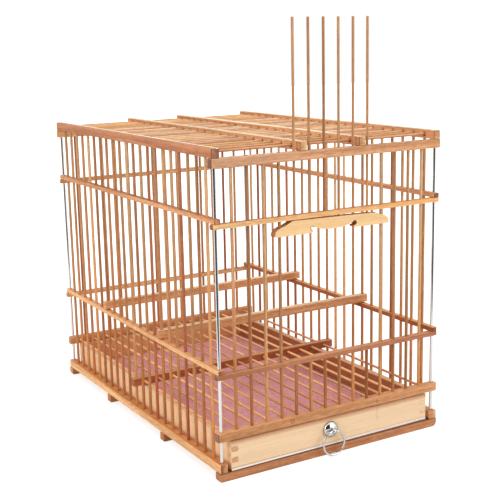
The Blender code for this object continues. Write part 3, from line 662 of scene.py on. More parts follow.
def drilled(bm, holes, diameter, sides=14):
    """The solid in bm with round holes from each start to each end."""
    drills = bmesh.new()
    for start, end in holes:
        add_round(drills, Vector(start), Vector(end), diameter, sides)
    work = shown("work", bm)
    tool = shown("drills", drills)
    cut = work.modifiers.new("holes", "BOOLEAN")
    cut.operation = "DIFFERENCE"
    cut.solver = "EXACT"
    cut.object = tool
    result = bmesh.new()
    result.from_object(work, bpy.context.evaluated_depsgraph_get())
    for guest in (work, tool):
        mesh = guest.data
        bpy.data.objects.remove(guest, do_unlink=True)
        bpy.data.meshes.remove(mesh)
    result.normal_update()
    return result


def upright_holes(places, low, high):
    """Holes through a bar from below to above, a millimetre longer at both ends."""
    return [((x, y, low.z - MM), (x, y, high.z + MM)) for x, y in places]


print("stick holes are", round(STICK_HOLE / MM, 1), "mm wide, rod holes", round(ROD_HOLE / MM, 1), "mm")

# %% [markdown]
# Sticks are bamboo, split and drawn round through a die. Those of the walls are half a millimetre thicker
# than those of the roof, the grate and the door. Each is a twelve sided bar with its ends just broken, shaded
# smooth along its length. A seeded dice picks its stain, so that each run gives the same cage: most are
# amber, some paler, some with more red.
#
# A stick isn't painted the same all round: one side is painted darker, a painted shade, and the other side a
# little brighter, a painted light. The shaded side looks to the left and back on upright sticks, down on the
# roof, and down with a stronger contrast under the grate. The walls' sticks are also tinted by height, from
# brown at the floor to pale gold under the roof, a painted shade low down and a painted light high up, so
# each kind has a tint for a low place and one for a high place.

# %% Colours of the sticks
WALL_STAINS = ["reed", "reed", "reed", "reed pale", "reed deep", "reed deep", "reed red"]
FRONT_STAINS = ["reed", "reed", "reed", "reed pale", "reed deep"]
DOOR_STAINS = ["reed", "reed deep", "reed"]
ROOF_STAINS = ["reed pale", "honey", "pale", "rose", "amber", "honey"]
GRATE_STAINS = ["amber", "honey", "honey"]
# Which side of a stick gets the painted shade: left and back, below, or below with a stronger contrast.
SHADE_LEFT = (-0.8, 0.6, 0)
SHADE_BELOW = (0, 0, -1)
SHADE_BELOW_DEEP = (0, 0, -2)
LIT_SIDE_BRIGHTEST = 1.14
SIDE_SHADE_RANGE = 0.44
TINT_FROM = 45 * MM
TINT_TO = 285 * MM
WALL_TINTS = ((1.06, 0.89, 0.56), (1.16, 1.48, 1.90))
FRONT_TINTS = ((0.94, 0.79, 0.54), (1.04, 1.34, 1.80))
DOOR_TINTS = ((0.98, 1.10, 1.30), (0.98, 1.10, 1.30))
PLAIN_TINTS = ((1.0, 1.0, 1.0), (1.0, 1.0, 1.0))


def shade_stick(bm, faces, start, end, skin, tints):
    """Paint shade on one side of a stick and light on the other, and tint it by its height."""
    layer = bm.loops.layers.float_color["stain"]
    axis = (end - start).normalized()
    for face in faces:
        for loop in face.loops:
            place = loop.vert.co - start
            out = (place - axis * place.dot(axis)).normalized()
            # Painted shade on one side and painted light on the other; by height, painted shade low and
            # painted light high.
            depth = LIT_SIDE_BRIGHTEST - SIDE_SHADE_RANGE * (0.5 + 0.5 * out.dot(skin))
            share = min(1.0, max(0.0, (loop.vert.co.z - TINT_FROM) / (TINT_TO - TINT_FROM)))
            tint = [low + (high - low) * share for low, high in zip(*tints)]
            stain = [depth * t * c for t, c in zip(tint, loop[layer])]
            loop[layer] = (*stain, loop[layer][3])


print("sticks change their tint from", round(TINT_FROM / MM), "to", round(TINT_TO / MM), "mm above the table")

# %% Sticks
STICK = 2.5 * MM
WALL_STICK = 3.0 * MM
STICK_BROKEN = 0.3 * MM
STAIN_DEPTHS = (0.92, 1.06)
SHADE_TURNS = (-0.7, 0.7)


def add_stick(bm, start, end, diameter=STICK, stains=WALL_STAINS, skin=SHADE_LEFT, tints=WALL_TINTS):
    start = Vector(start)
    end = Vector(end)
    faces = add_round(bm, start, end, diameter, broken=STICK_BROKEN)
    for face in faces:
        face.normal_update()
    paint(bm, faces, {"all": DICE.choice(stains)}, DICE.uniform(*STAIN_DEPTHS))
    turn = Matrix.Rotation(DICE.uniform(*SHADE_TURNS), 3, end - start)
    shade_stick(bm, faces, start, end, turn @ Vector(skin), tints)


def stick_piece(name, rows, material, body, nodes, diameter=STICK, **options):
    bm = bmesh.new()
    for start, end in rows:
        add_stick(bm, start, end, diameter, **options)
    return finish_piece(name, bm, material, body, nodes)


print("sticks are", round(STICK / MM, 1), "or", round(WALL_STICK / MM, 1), "mm thick")

# %% [markdown]
# Before any piece is made, the plan is read from the solids: the corner rods give the four corners, and the
# sticks stand at even steps between them. These few numbers are all that the walls and the roof need.

# %% Plan
FRONT_LEFT = middle("corner_rod_front_left")
REAR_RIGHT = middle("corner_rod_rear_right")
LEFT_X = FRONT_LEFT.x
RIGHT_X = REAR_RIGHT.x
FRONT_Y = FRONT_LEFT.y
REAR_Y = REAR_RIGHT.y
MID_Y = (FRONT_Y + REAR_Y) / 2
RAIL_HEIGHT = 8.2 * MM
SOCKET = 3 * MM
ROOF_Z = corners("roof_rail_left")[0].z + RAIL_HEIGHT / 2
FRONT_PITCH = (RIGHT_X - LEFT_X) / 15
FRONT_XS = [LEFT_X + FRONT_PITCH * (i + 1) for i in range(14)]
DOOR_XS = FRONT_XS[4:10]
TALL_XS = [x for x in FRONT_XS if x not in DOOR_XS]
DOOR_GUIDES = [FRONT_XS[3], FRONT_XS[10]]


def front_to_back(margin, count):
    """Even places from the front rods to the rear ones, the outer two a margin away from them."""
    length = REAR_Y - FRONT_Y - 2 * margin
    return [FRONT_Y + margin + length * i / (count - 1) for i in range(count)]


SIDE_YS = front_to_back(14.5 * MM, 21)
ROOF_YS = front_to_back(10.45 * MM, 22)
print("front sticks every", round(FRONT_PITCH / MM, 2), "mm, side sticks every",
      round((SIDE_YS[1] - SIDE_YS[0]) / MM, 2), "mm")

# %% [markdown]
# The cage stands on four feet. Their lower end corners are sawn round, more at the right than at the left in
# front and behind, and only a little on the two in the middle. Two edges are bevelled with their own radius
# before the fine edge goes on. The front foot is painted dark on its top and along its upper edge, a painted
# shadow under the drawer.

# %% Feet
FOOT_LOOKS = {
    # The front foot's dark top is a painted shadow under the drawer.
    "foot_rail_front": {"all": "tan", "left": "clay", "right": "amber", "top": "bark"},
    "foot_rail_mid_front": {"all": "tan", "top": "amber"},
    "foot_rail_mid_rear": {"all": "tan", "top": "amber"},
    "foot_rail_rear": {"all": "tan", "left": "amber", "top": "amber"},
}
FOOT_ROUNDS = {
    "foot_rail_front": (2.6 * MM, 4.5 * MM),
    "foot_rail_mid_front": (1.2 * MM, 1.2 * MM),
    "foot_rail_mid_rear": (1.2 * MM, 1.2 * MM),
    "foot_rail_rear": (2.6 * MM, 4.5 * MM),
}
for node, looks in FOOT_LOOKS.items():
    low, high = corners(node)
    bm = block(low, high)
    centre_z = (low.z + high.z) / 2
    for side, size in zip((-1, 1), FOOT_ROUNDS[node]):
        bevel(bm, end_corners(bm, 0, 1, side, lambda p: p.z < centre_z), size, 4)
    soften(bm)
    paint(bm, bm.faces, looks)
    # Painted shadow under the drawer, on the front foot's upper edge.
    if node == "foot_rail_front":
        shadowed_upper_edge = [f for f in bm.faces if f.normal.y < -0.2 and f.normal.z > 0.2]
        paint(bm, shadowed_upper_edge, {"all": "bark"})
    rail_piece(node.replace("_rail", ""), bm, RAIL_ALONG[0], node)

# %% [markdown]
# Each side wall is a sill with its sticks glued in, 3 mm deep. Sill and sticks are two pieces here, because
# their grain runs different ways, and both stand for one solid. The light rails are threaded on them, so they
# are drilled at every stick and at both rods. Their cut ends, which look to the front, run from one stain to
# another.

# %% Side walls
SIDE_LOOKS = {
    "left": {"sill": {"all": "amber", "left": "honey", "top": "ginger"},
             "lower": {"all": "amber", "left": "honey", "top": "apricot"},
             "upper": {"all": "amber", "top": "russet"}},
    "right": {"sill": {"all": "amber", "left": "apricot"},
              # The lower rail's face that looks left, into the cage, is painted dark: painted shade.
              "lower": {"all": "amber", "left": "umber", "top": "honey"},
              "upper": {"all": "amber", "left": "apricot", "top": "honey"}},
}
SIDE_ENDS = {
    "left": {"sill": ("bark", "honey"), "lower": ("bark", "tan"), "upper": ("amber", "clay")},
    "right": {"sill": ("tan", "pale"), "lower": ("bark", "umber"), "upper": ("dusk", "dusk")},
}
for side, x in (("left", LEFT_X), ("right", RIGHT_X)):
    rods = [(x, FRONT_Y), (x, REAR_Y)]
    node = f"{side}_wall_sill_and_sticks"
    low, high = corners(node)
    sill_high = Vector((high.x, high.y, low.z + RAIL_HEIGHT))
    bm = drilled(bar(low, sill_high, 1), upright_holes(rods, low, sill_high), ROD_HOLE)
    paint(bm, bm.faces, SIDE_LOOKS[side]["sill"])
    shade_across(bm, "front", 0, *SIDE_ENDS[side]["sill"])
    rail_piece(f"{side}_sill", bm, RAIL_ALONG[1], node)
    rows = [((x, y, sill_high.z - SOCKET), (x, y, high.z)) for y in SIDE_YS]
    stick_piece(f"{side}_wall_sticks", rows, STICK_ALONG[2], "cage", [node], WALL_STICK)
    for level in ("lower", "upper"):
        node = f"{level}_mid_rail_{side}"
        low, high = corners(node)
        bm = drilled(bar(low, high, 1), upright_holes([(x, y) for y in SIDE_YS], low, high), STICK_HOLE)
        bm = drilled(bm, upright_holes(rods, low, high), ROD_HOLE)
        paint(bm, bm.faces, SIDE_LOOKS[side][level])
        shade_across(bm, "front", 0, *SIDE_ENDS[side][level])
        shade_bores(bm, low, high)
        rail_piece(f"{side}_{level}_rail", bm, RAIL_ALONG[1], node)

# %% [markdown]
# The front is the wall that is looked at most, so its four rails have stains of their own, which run from
# left to right along the face: the light rail over the doorway is the palest, the one below it the darkest.
# Their left ends run from smoky or dark brown at the front to grey or tan behind. Full sticks stand at both
# sides of the doorway, and the middle six holes of the two upper rails are open for the door's sticks.

# %% Rails of the front wall
FRONT_LOOKS = {
    "lower_rail_front": {"all": "tan", "top": "apricot", "right": "honey"},
    "lower_mid_rail_front": {"all": "tan", "top": "amber", "right": "amber"},
    "upper_mid_rail_front": {"all": "amber", "right": "honey"},
    "top_rail_front": {"all": "amber", "top": "petal", "right": "honey"},
}
FRONT_RUNS = {
    "lower_rail_front": ("nut", "apricot"),
    "lower_mid_rail_front": ("clay", "mauve"),
    "upper_mid_rail_front": ("straw", "orange"),
    "top_rail_front": ("blush", "apricot"),
}
FRONT_ENDS = {
    "lower_rail_front": ("smoke", "dusk"),
    "lower_mid_rail_front": ("smoke", "dusk"),
    "upper_mid_rail_front": ("bark", "tan"),
    "top_rail_front": ("bark", "dusk"),
}
front_rods = [(LEFT_X, FRONT_Y), (RIGHT_X, FRONT_Y)]
for node, looks in FRONT_LOOKS.items():
    low, high = corners(node)
    bm = bar(low, high, 0)
    if node != "lower_rail_front":
        bm = drilled(bm, upright_holes([(x, FRONT_Y) for x in TALL_XS], low, high), STICK_HOLE)
    if node in ("upper_mid_rail_front", "top_rail_front"):
        bm = drilled(bm, upright_holes([(x, FRONT_Y) for x in DOOR_XS], low, high), DOOR_HOLE)
    bm = drilled(bm, upright_holes(front_rods, low, high), ROD_HOLE)
    paint(bm, bm.faces, looks)
    shade_across(bm, "left", 1, *FRONT_ENDS[node])
    shade_across(bm, "front", 0, *FRONT_RUNS[node])
    shade_bores(bm, low, high)
    finish = KNOTTY_WOOD if node == "lower_rail_front" else RAIL_ALONG[0]
    rail_piece(node.replace("_rail", ""), bm, finish, node)

# %% [markdown]
# Each front stick is a solid of its own, so each is a piece of its own: eight full ones and the six short
# ones under the doorway. The solid's corners say how high a stick reaches.

# %% Sticks of the front wall
for number, x in enumerate(FRONT_XS, 1):
    node = f"front_stick_{number:02d}"
    low, high = corners(node)
    rows = [((x, FRONT_Y, low.z), (x, FRONT_Y, high.z))]
    stick_piece(
        f"front_bar_{number:02d}", rows, STICK_ALONG[2], "cage", [node], WALL_STICK, stains=FRONT_STAINS,
        tints=FRONT_TINTS)

# %% [markdown]
# The rear wall repeats the front without a doorway, and its sticks are glued in its lower rail. It is seen
# through three other rows of sticks, but the cage is also looked at from behind, so it is made as carefully.

# %% Rear wall
rear_rods = [(LEFT_X, REAR_Y), (RIGHT_X, REAR_Y)]
node = "rear_wall_rail_and_sticks"
low, high = corners(node)
rail_high = Vector((high.x, high.y, low.z + RAIL_HEIGHT))
bm = drilled(bar(low, rail_high, 0), upright_holes(rear_rods, low, rail_high), ROD_HOLE)
paint(bm, bm.faces, {"all": "amber"})
rail_piece("lower_rear", bm, RAIL_ALONG[0], node)
rows = [((x, REAR_Y, rail_high.z - SOCKET), (x, REAR_Y, high.z)) for x in FRONT_XS]
stick_piece("rear_wall_sticks", rows, STICK_ALONG[2], "cage", [node], WALL_STICK)
for node in ("lower_mid_rail_rear", "upper_mid_rail_rear", "top_rail_rear"):
    low, high = corners(node)
    bm = bar(low, high, 0)
    if node != "top_rail_rear":
        bm = drilled(bm, upright_holes([(x, REAR_Y) for x in FRONT_XS], low, high), STICK_HOLE)
    bm = drilled(bm, upright_holes(rear_rods, low, high), ROD_HOLE)
    paint(bm, bm.faces, {"all": "amber", "front": "honey"})
    shade_bores(bm, low, high)
    rail_piece(node.replace("_rail", ""), bm, RAIL_ALONG[0], node)

# %% [markdown]
# Four rails lie over the walls from front to back. The outer two hide the tops of the walls, and the roof
# sticks end inside them; the inner two are drilled through from side to side, a size too wide. The tops of
# all but the left rail are painted almost white, a painted highlight, and that one has a painted highlight in
# a strip along its inner edge, so its mesh is cut once along the strip. One solid holds an inner rail
# together with the sticks, and that rail's own width and place are those of its neighbour, mirrored.

# %% Roof
# The milk-coloured tops are a painted highlight.
ROOF_LOOKS = {
    "roof_rail_left": {"all": "tan", "left": "russet", "top": "clay"},
    "roof_rail_inner_left_and_sticks": {"all": "amber", "top": "milk"},
    "roof_rail_inner_right": {"all": "amber", "top": "milk"},
    "roof_rail_right": {"all": "amber", "top": "milk"},
}
ROOF_ENDS = {
    "roof_rail_left": ("clay", "dusk"),
    "roof_rail_inner_left_and_sticks": ("amber", "straw"),
    "roof_rail_inner_right": ("tan", "straw"),
    "roof_rail_right": ("amber", "rose"),
}
ROOF_SOCKET = 4 * MM
HIGHLIGHT_STRIP = 3.0 * MM


def score(bm, place, normal):
    """Cut each face where a plane crosses it, and take nothing away."""
    bmesh.ops.bisect_plane(
        bm, geom=bm.verts[:] + bm.edges[:] + bm.faces[:], plane_co=place, plane_no=normal)


for node, looks in ROOF_LOOKS.items():
    low, high = corners(node)
    if node == "roof_rail_inner_left_and_sticks":
        stick_low, stick_high = low, high
        twin_low, twin_high = corners("roof_rail_inner_right")
        half = (twin_high.x - twin_low.x) / 2
        centre = -middle("roof_rail_inner_right").x
        low = Vector((centre - half, low.y, low.z))
        high = Vector((centre + half, high.y, high.z))
    start = high.x - ROOF_SOCKET if node == "roof_rail_left" else low.x - MM
    end = low.x + ROOF_SOCKET if node == "roof_rail_right" else high.x + MM
    bm = drilled(bar(low, high, 1), [((start, y, ROOF_Z), (end, y, ROOF_Z)) for y in ROOF_YS], ROOF_HOLE)
    highlight_from = high.x - HIGHLIGHT_STRIP
    if node == "roof_rail_left":
        score(bm, (highlight_from, 0, 0), (1, 0, 0))
    paint(bm, bm.faces, looks)
    shade_bores(bm, low, high)
    shade_across(bm, "front", 0, *ROOF_ENDS[node])
    if node == "roof_rail_left":
        # A painted highlight along the inner edge of the left rail's top.
        painted_highlight = [f for f in bm.faces if f.calc_center_median().x > highlight_from and f.normal.z > 0.3]
        paint(bm, painted_highlight, {"all": "milk"}, 1.2)
    rail_piece(node.replace("_and_sticks", "").replace("_rail", ""), bm, RAIL_ALONG[1], node)
rows = [((stick_low.x, y, ROOF_Z), (stick_high.x, y, ROOF_Z)) for y in ROOF_YS]
stick_piece(
    "roof_sticks", rows, STICK_ALONG[0], "cage", ["roof_rail_inner_left_and_sticks"], stains=ROOF_STAINS,
    skin=SHADE_BELOW, tints=PLAIN_TINTS)

# %% [markdown]
# The corners are tied by steel rods that run from the end feet up into the roof. They are plain drawn wire.

# %% Corner rods
ROD = 3.0 * MM
ROD_BROKEN = 0.2 * MM
for corner in ("front_left", "front_right", "rear_left", "rear_right"):
    node = f"corner_rod_{corner}"
    low, high = corners(node)
    centre = middle(node)
    bm = bmesh.new()
    foot = Vector((centre.x, centre.y, low.z))
    head = Vector((centre.x, centre.y, high.z))
    add_round(bm, foot, head, ROD, sides=20, broken=ROD_BROKEN)
    finish_piece(f"rod_{corner}", bm, ROD_STEEL, "cage", [node])

# %% [markdown]
# The floor is a grate of sticks from front to back, carried by a cross bar in the middle. Below it lies the
# drawer, so droppings fall through on to the liner. The bar is painted the darkest on the cage, a painted
# shade on all but its paler top, and the sticks are painted darker underneath, also a painted shade.

# %% Grate
GRATE_BAR = 7.5 * MM
low, high = corners("floor_grate")
bar_low = Vector((low.x, MID_Y - GRATE_BAR / 2, low.z))
bar_high = Vector((high.x, MID_Y + GRATE_BAR / 2, high.z))
bm = bar(bar_low, bar_high, 0)
bm = drilled(bm, upright_holes([(LEFT_X, MID_Y), (RIGHT_X, MID_Y)], bar_low, bar_high), STICK_HOLE)
# Painted shade on the bar's sides, below the grate sticks.
paint(bm, bm.faces, {"all": "umber", "top": "amber"})
rail_piece("grate_bar", bm, RAIL_ALONG[0], "floor_grate")
grate_z = (low.z + high.z) / 2
grate_xs = [LEFT_X + FRONT_PITCH * (i + 0.5) for i in range(15)]
rows = [((x, low.y, grate_z), (x, high.y, grate_z)) for x in grate_xs]
stick_piece(
    "grate_sticks", rows, STICK_ALONG[1], "cage", ["floor_grate"], stains=GRATE_STAINS, skin=SHADE_BELOW_DEEP,
    tints=PLAIN_TINTS)

# %% [markdown]
# Two square perches cross the cage. Each end is drilled and threaded on a stick of the side wall, so a perch
# can be slid up. They ride on bodies of their own. Their tops are stained paler than their sides.

# %% Perches
for label, face, end in (("front", "amber", "tan"), ("rear", "apricot", "honey")):
    node = f"perch_{label}"
    low, high = corners(node)
    y = (low.y + high.y) / 2
    bm = drilled(bar(low, high, 0), upright_holes([(LEFT_X, y), (RIGHT_X, y)], low, high), STICK_HOLE)
    paint(bm, bm.faces, {"all": "amber", "front": face, "left": end, "top": "cream"})
    finish_piece(f"{label}_perch_bar", bm, RAIL_ALONG[0], f"{label}_perch", [node])

# %% [markdown]
# The door is lifted by its sticks. They are set in a carved board that slides on the two sticks beside the
# doorway. The board's outline is drawn once, as shares of its half width and its height, and mirrored: a
# shoulder, a foot, a round notch and half of the lobe in the middle. It was carved by hand, so its right
# shoulder is a little lower than its left one.

# %% Outline of the carved board
SHOULDER = [
    (0.690, 1.000), (0.722, 0.965), (0.760, 0.860), (0.815, 0.745), (0.890, 0.640), (0.950, 0.520),
    (0.985, 0.340), (0.998, 0.130), (0.990, 0.030), (0.970, 0.000), (0.385, 0.000), (0.360, 0.035),
    (0.352, 0.105),
]
LOBE = [(0.318, 0.360), (0.270, 0.275), (0.200, 0.190), (0.120, 0.135), (0.000, 0.110)]
NOTCH = (0.371, 0.328)
NOTCH_RADIUS = 2.2 * MM
NOTCH_STEPS = 12
NOTCH_FROM = -115
NOTCH_SWEEP = 265
SAG = 1.6 * MM
SAG_ABOVE = 0.95


def carved_outline(low, high):
    """The outline's points, from the front, round the whole board."""
    half_width = (high.x - low.x) / 2
    height = high.z - low.z
    points = [(x * half_width, z * height) for x, z in SHOULDER]
    for i in range(NOTCH_STEPS + 1):
        angle = math.radians(NOTCH_FROM + NOTCH_SWEEP * i / NOTCH_STEPS)
        points.append((
            NOTCH[0] * half_width + NOTCH_RADIUS * math.cos(angle),
            NOTCH[1] * height + NOTCH_RADIUS * math.sin(angle)))
    points += [(x * half_width, z * height) for x, z in LOBE]
    points += [(-x, z) for x, z in reversed(points[:-1])]
    return [(x, low.z + z - SAG * (z > SAG_ABOVE * height) * (x > 0)) for x, z in points]


print("the notches are", round(2 * NOTCH_RADIUS / MM, 1), "mm wide")

# %% [markdown]
# An outline becomes a face, and the face is pushed through to the board's thickness. A small bevel along both
# rims breaks the cutter's edge. The left shoulder's top is painted darker than the long top edge, and the
# walls of the round notches are painted dark: both are painted shade.

# %% Carved board
RIM = 0.3 * MM
NOTCH_SHADE_REACH = 1.25


def slab(points, across, low, high):
    """A solid from an outline, pushed along the axis across from low to high."""
    bm = bmesh.new()
    verts = []
    for first, second in points:
        place = [first, second]
        place.insert(across, low)
        verts.append(bm.verts.new(place))
    face = bm.faces.new(verts)
    pushed = bmesh.ops.extrude_face_region(bm, geom=[face])
    step = [0, 0, 0]
    step[across] = high - low
    moved = [g for g in pushed["geom"] if isinstance(g, bmesh.types.BMVert)]
    bmesh.ops.translate(bm, verts=moved, vec=step)
    bmesh.ops.recalc_face_normals(bm, faces=bm.faces)
    return bm


low, high = corners("door_board")
bm = slab(carved_outline(low, high), 1, low.y, high.y)
bevel(bm, [e for e in bm.edges if abs(e.verts[0].co.y - e.verts[1].co.y) < SAME_PLACE], RIM, 2)
bm = drilled(bm, upright_holes([(x, FRONT_Y) for x in DOOR_GUIDES], low, high), STICK_HOLE)
paint(bm, bm.faces, {"all": "board", "top": "amber", "left": "clay"})
# Painted shade on the left shoulder's top.
shoulder_x = SHOULDER[0][0] * low.x
shoulder = [f for f in bm.faces if facing(f.normal) == "top" and f.calc_center_median().x < shoulder_x]
paint(bm, shoulder, {"all": "umber"})
notch_x = NOTCH[0] * (high.x - low.x) / 2
notch_z = low.z + NOTCH[1] * (high.z - low.z)
# Painted shade on the walls of the round notches.
notch_shade = []
for face in bm.faces:
    centre = face.calc_center_median()
    reach = math.hypot(abs(centre.x) - notch_x, centre.z - notch_z)
    if abs(face.normal.y) < 0.5 and reach < NOTCH_SHADE_REACH * NOTCH_RADIUS:
        notch_shade.append(face)
paint(bm, notch_shade, {"all": "umber"}, 0.8)
finish_piece("carved_board", bm, BOARD_WOOD, "door", ["door_board"])

# %% [markdown]
# The door's six sticks are glued in the board and slide up through the two rails above it. They have been
# handled, so they are one even tint from end to end.

# %% Door sticks
for number, x in enumerate(DOOR_XS, 1):
    node = f"door_stick_{number}"
    low, high = corners(node)
    rows = [((x, FRONT_Y, low.z), (x, FRONT_Y, high.z))]
    stick_piece(
        f"door_bar_{number}", rows, STICK_ALONG[2], "door", [node], stains=DOOR_STAINS, tints=DOOR_TINTS)

# %% [markdown]
# The drawer's walls meet in finger joints. A wall seen from its face is a rectangle with teeth at both ends,
# so its outline is walked tooth by tooth, made a face and pushed to the wall's thickness.
#
# The front's face has two marks of its own. Its upper edge, under the rail, is painted warmer and darker, a
# painted shade that fades out in 10 mm. Its lower edge is a white line that climbs to the right under a
# slightly darker seam. Both are cut along a tilted plane, so that the stain changes on an edge of the mesh
# and stays crisp.

# %% Teeth and stains of the drawer
WALL = 7.2 * MM
FINGERS = 5
LONG_FINGERS = ({0, 2, 4}, {1, 3})
DRAWER_EDGE = 0.12 * MM
SQUARE = 1.0
FADE = 10 * MM
SHANK_HOLE = 3.3 * MM
LIFT = 1.3 * MM
SEAM_TOP = 1.35 * MM
LINE_TOP = 0.65 * MM


def toothed(near, far, bottom, top, own):
    """A wall's outline as (place, height) pairs; own says which steps reach the wall's full length."""
    step = (top - bottom) / FINGERS
    points = []
    for i in range(FINGERS):
        edge = far if i in own else far - WALL
        points += [(edge, bottom + i * step), (edge, bottom + (i + 1) * step)]
    for i in reversed(range(FINGERS)):
        edge = near if i in own else near + WALL
        points += [(edge, bottom + (i + 1) * step), (edge, bottom + i * step)]
    return points


def shade_upper_edge(bm, height, stain):
    """Paint shade on an upper edge as a warmer stain, which fades out down to the next row of vertices."""
    layer = bm.loops.layers.float_color["stain"]
    for face in bm.faces:
        if facing(face.normal) != "front":
            continue
        for loop in face.loops:
            if loop.vert.co.z > height - 0.5 * MM:
                loop[layer] = (*STAINS[stain], loop[layer][3])


def below(bm, height, slope, stain):
    """Stain all that lies under a tilted line, whose height is given at the middle of the drawer."""
    score(bm, (0, 0, height), (-slope, 0, 1))
    under = [f for f in bm.faces if f.calc_center_median().z < height + slope * f.calc_center_median().x]
    paint(bm, under, {"all": stain})


print("the drawer's walls are", round(WALL / MM, 1), "mm thick, with", FINGERS, "teeth at each end")

# %% [markdown]
# The ends of the side walls' fingers show in the drawer's face as end grain: darker at the left, and as pale
# as the face at the right. Inside, both side walls are painted brown, a painted shade inside the drawer.

# %% Drawer walls
DRAWER_LOOKS = {
    "drawer_front": {"all": "cream", "left": "pale", "top": "pale"},
    "drawer_back": {"all": "cream", "left": "pale", "top": "pale", "front": "honey"},
    # The faces that look into the drawer are painted brown: painted shade.
    "drawer_left": {"all": "pale", "front": "finger", "back": "finger", "right": "inside"},
    "drawer_right": {"all": "pale", "front": "cream", "back": "finger", "left": "inside"},
}
for node, looks in DRAWER_LOOKS.items():
    low, high = corners(node)
    along = 0 if node in ("drawer_front", "drawer_back") else 1
    across = 1 - along
    outline = toothed(low[along], high[along], low.z, high.z, LONG_FINGERS[along])
    bm = slab(outline, across, low[across], high[across])
    if node == "drawer_front":
        centre = middle("drawer_knob")
        hole = ((centre.x, low.y - MM, centre.z), (centre.x, high.y + MM, centre.z))
        bm = drilled(bm, [hole], SHANK_HOLE)
    bevel(bm, sharp_edges(bm, SQUARE), DRAWER_EDGE, 1)
    bmesh.ops.recalc_face_normals(bm, faces=bm.faces)
    score(bm, (0, 0, high.z - FADE), (0, 0, 1))
    paint(bm, bm.faces, looks)
    if node == "drawer_front":
        slope = LIFT / (high.x - low.x)
        # Painted shade along the upper edge, under the rail.
        shade_upper_edge(bm, high.z, "tan")
        below(bm, low.z + SEAM_TOP, slope, "finger")
        below(bm, low.z + LINE_TOP, slope, "white")
    finish_piece(node + "_wall", bm, DRAWER_ALONG[along], "drawer", [node])

# %% [markdown]
# A thin panel is nailed under the walls. Its face is white, and it shows as a bright line under the drawer's
# front. Under the line the panel's front edge is painted dark below a tilted line, a painted shadow of a gap
# that grows wider to the right, with the same climb as the seam above it.

# %% Panel
PANEL_EDGE = 0.15 * MM
PANEL_SHADOW = 1.3 * MM
low, high = corners("drawer_bottom")
bm = block(low, high)
soften(bm, PANEL_EDGE)
paint(bm, bm.faces, {"all": "tan", "front": "white", "top": "white"})
# Painted shadow on the panel's front edge, under the white line.
below(bm, low.z + PANEL_SHADOW, LIFT / (high.x - low.x), "bark")
finish_piece("drawer_panel", bm, PANEL_BOARD, "drawer", ["drawer_bottom"])

# %% [markdown]
# On the panel lies the liner, a mat of pressed fibre that was cut to fit: a flat grid, given its thickness,
# whose upper face rises and falls a little in slow waves.

# %% Liner
LINER_THICKNESS = 1.5 * MM
LINER_SWELL = 0.2 * MM


def swell(x, y):
    """Slow waves of three lengths over the mat, between about -2 and 2."""
    return math.sin(x * 61) * math.cos(y * 43) + math.sin(x * 139 + y * 97)


def smooth(bm):
    for face in bm.faces:
        face.smooth = True


low, high = corners("tray_liner")
bm = bmesh.new()
bmesh.ops.create_grid(bm, x_segments=36, y_segments=60, size=0.5)
bmesh.ops.scale(bm, verts=bm.verts, vec=(high.x - low.x, high.y - low.y, 1))
bmesh.ops.translate(bm, verts=bm.verts, vec=((low.x + high.x) / 2, (low.y + high.y) / 2, low.z))
sheet = bmesh.ops.extrude_face_region(bm, geom=list(bm.faces))
upper = [g for g in sheet["geom"] if isinstance(g, bmesh.types.BMVert)]
for vert in upper:
    vert.co.z = low.z + LINER_THICKNESS + LINER_SWELL * swell(vert.co.x, vert.co.y)
bmesh.ops.recalc_face_normals(bm, faces=bm.faces)
smooth(bm)
liner = finish_piece("liner_mat", bm, LINER_MAT, "drawer", ["tray_liner"])

# %% [markdown]
# The pull is turned metal: a low dome against the drawer's face with a round eye standing out of its middle,
# on a shank that goes through the wall. A turned piece is a profile that is spun about its axis, so the
# profile is listed from the eye's tip to the shank's end, as pairs of radius and distance in front of the
# drawer's face. The eye then gets its cross bore from the same drill as the rails.

# %% Profile of the pull
KNOB_X = middle("drawer_knob").x
FACE_Y = corners("drawer_front")[0].y
RING_LOW, RING_HIGH = corners("pull_ring")
WIRE = 2.0 * MM
RING_RADIUS = (RING_HIGH.x - RING_LOW.x) / 2 - WIRE / 2
EYE_Y = middle("pull_ring").y
PULL_Z = RING_HIGH.z - WIRE / 2
EYE_RADIUS = 2.6 * MM
NECK_FROM = 5.3 * MM
NECK_RADIUS = 1.8 * MM
DOME_RADIUS = 7.8 * MM
DOME_FOOT = 0.9 * MM
DOME_RISE = 4.1 * MM
DOME_FROM = 16
DOME_STEPS = 10
SHANK_RADIUS = 1.5 * MM
BACK_GAP = 0.25 * MM


def pull_profile(tip, shank_end):
    eye = [(0, tip)]
    for step in range(1, 9):
        angle = math.radians(20 * step)
        eye.append((EYE_RADIUS * math.sin(angle), tip - EYE_RADIUS * (1 - math.cos(angle))))
    profile = [p for p in eye if p[1] > NECK_FROM or p[0] > NECK_RADIUS]
    profile += [(1.7 * MM, 5.0 * MM), (1.9 * MM, 4.85 * MM)]
    for step in range(1, DOME_STEPS + 1):
        angle = math.radians(DOME_FROM + (90 - DOME_FROM) * step / DOME_STEPS)
        profile.append((DOME_RADIUS * math.sin(angle), DOME_FOOT + DOME_RISE * math.cos(angle)))
    profile += [(DOME_RADIUS - 0.15 * MM, 0.35 * MM), (DOME_RADIUS - 0.5 * MM, BACK_GAP)]
    profile += [(SHANK_RADIUS, BACK_GAP), (SHANK_RADIUS, shank_end), (0, shank_end)]
    return profile


print("the dome is", round(2 * DOME_RADIUS / MM, 1), "mm wide, the ring's wire", round(WIRE / MM, 1), "mm")

# %% Pull
EYE_BORE = 2.9 * MM
TURNED_STEPS = 48


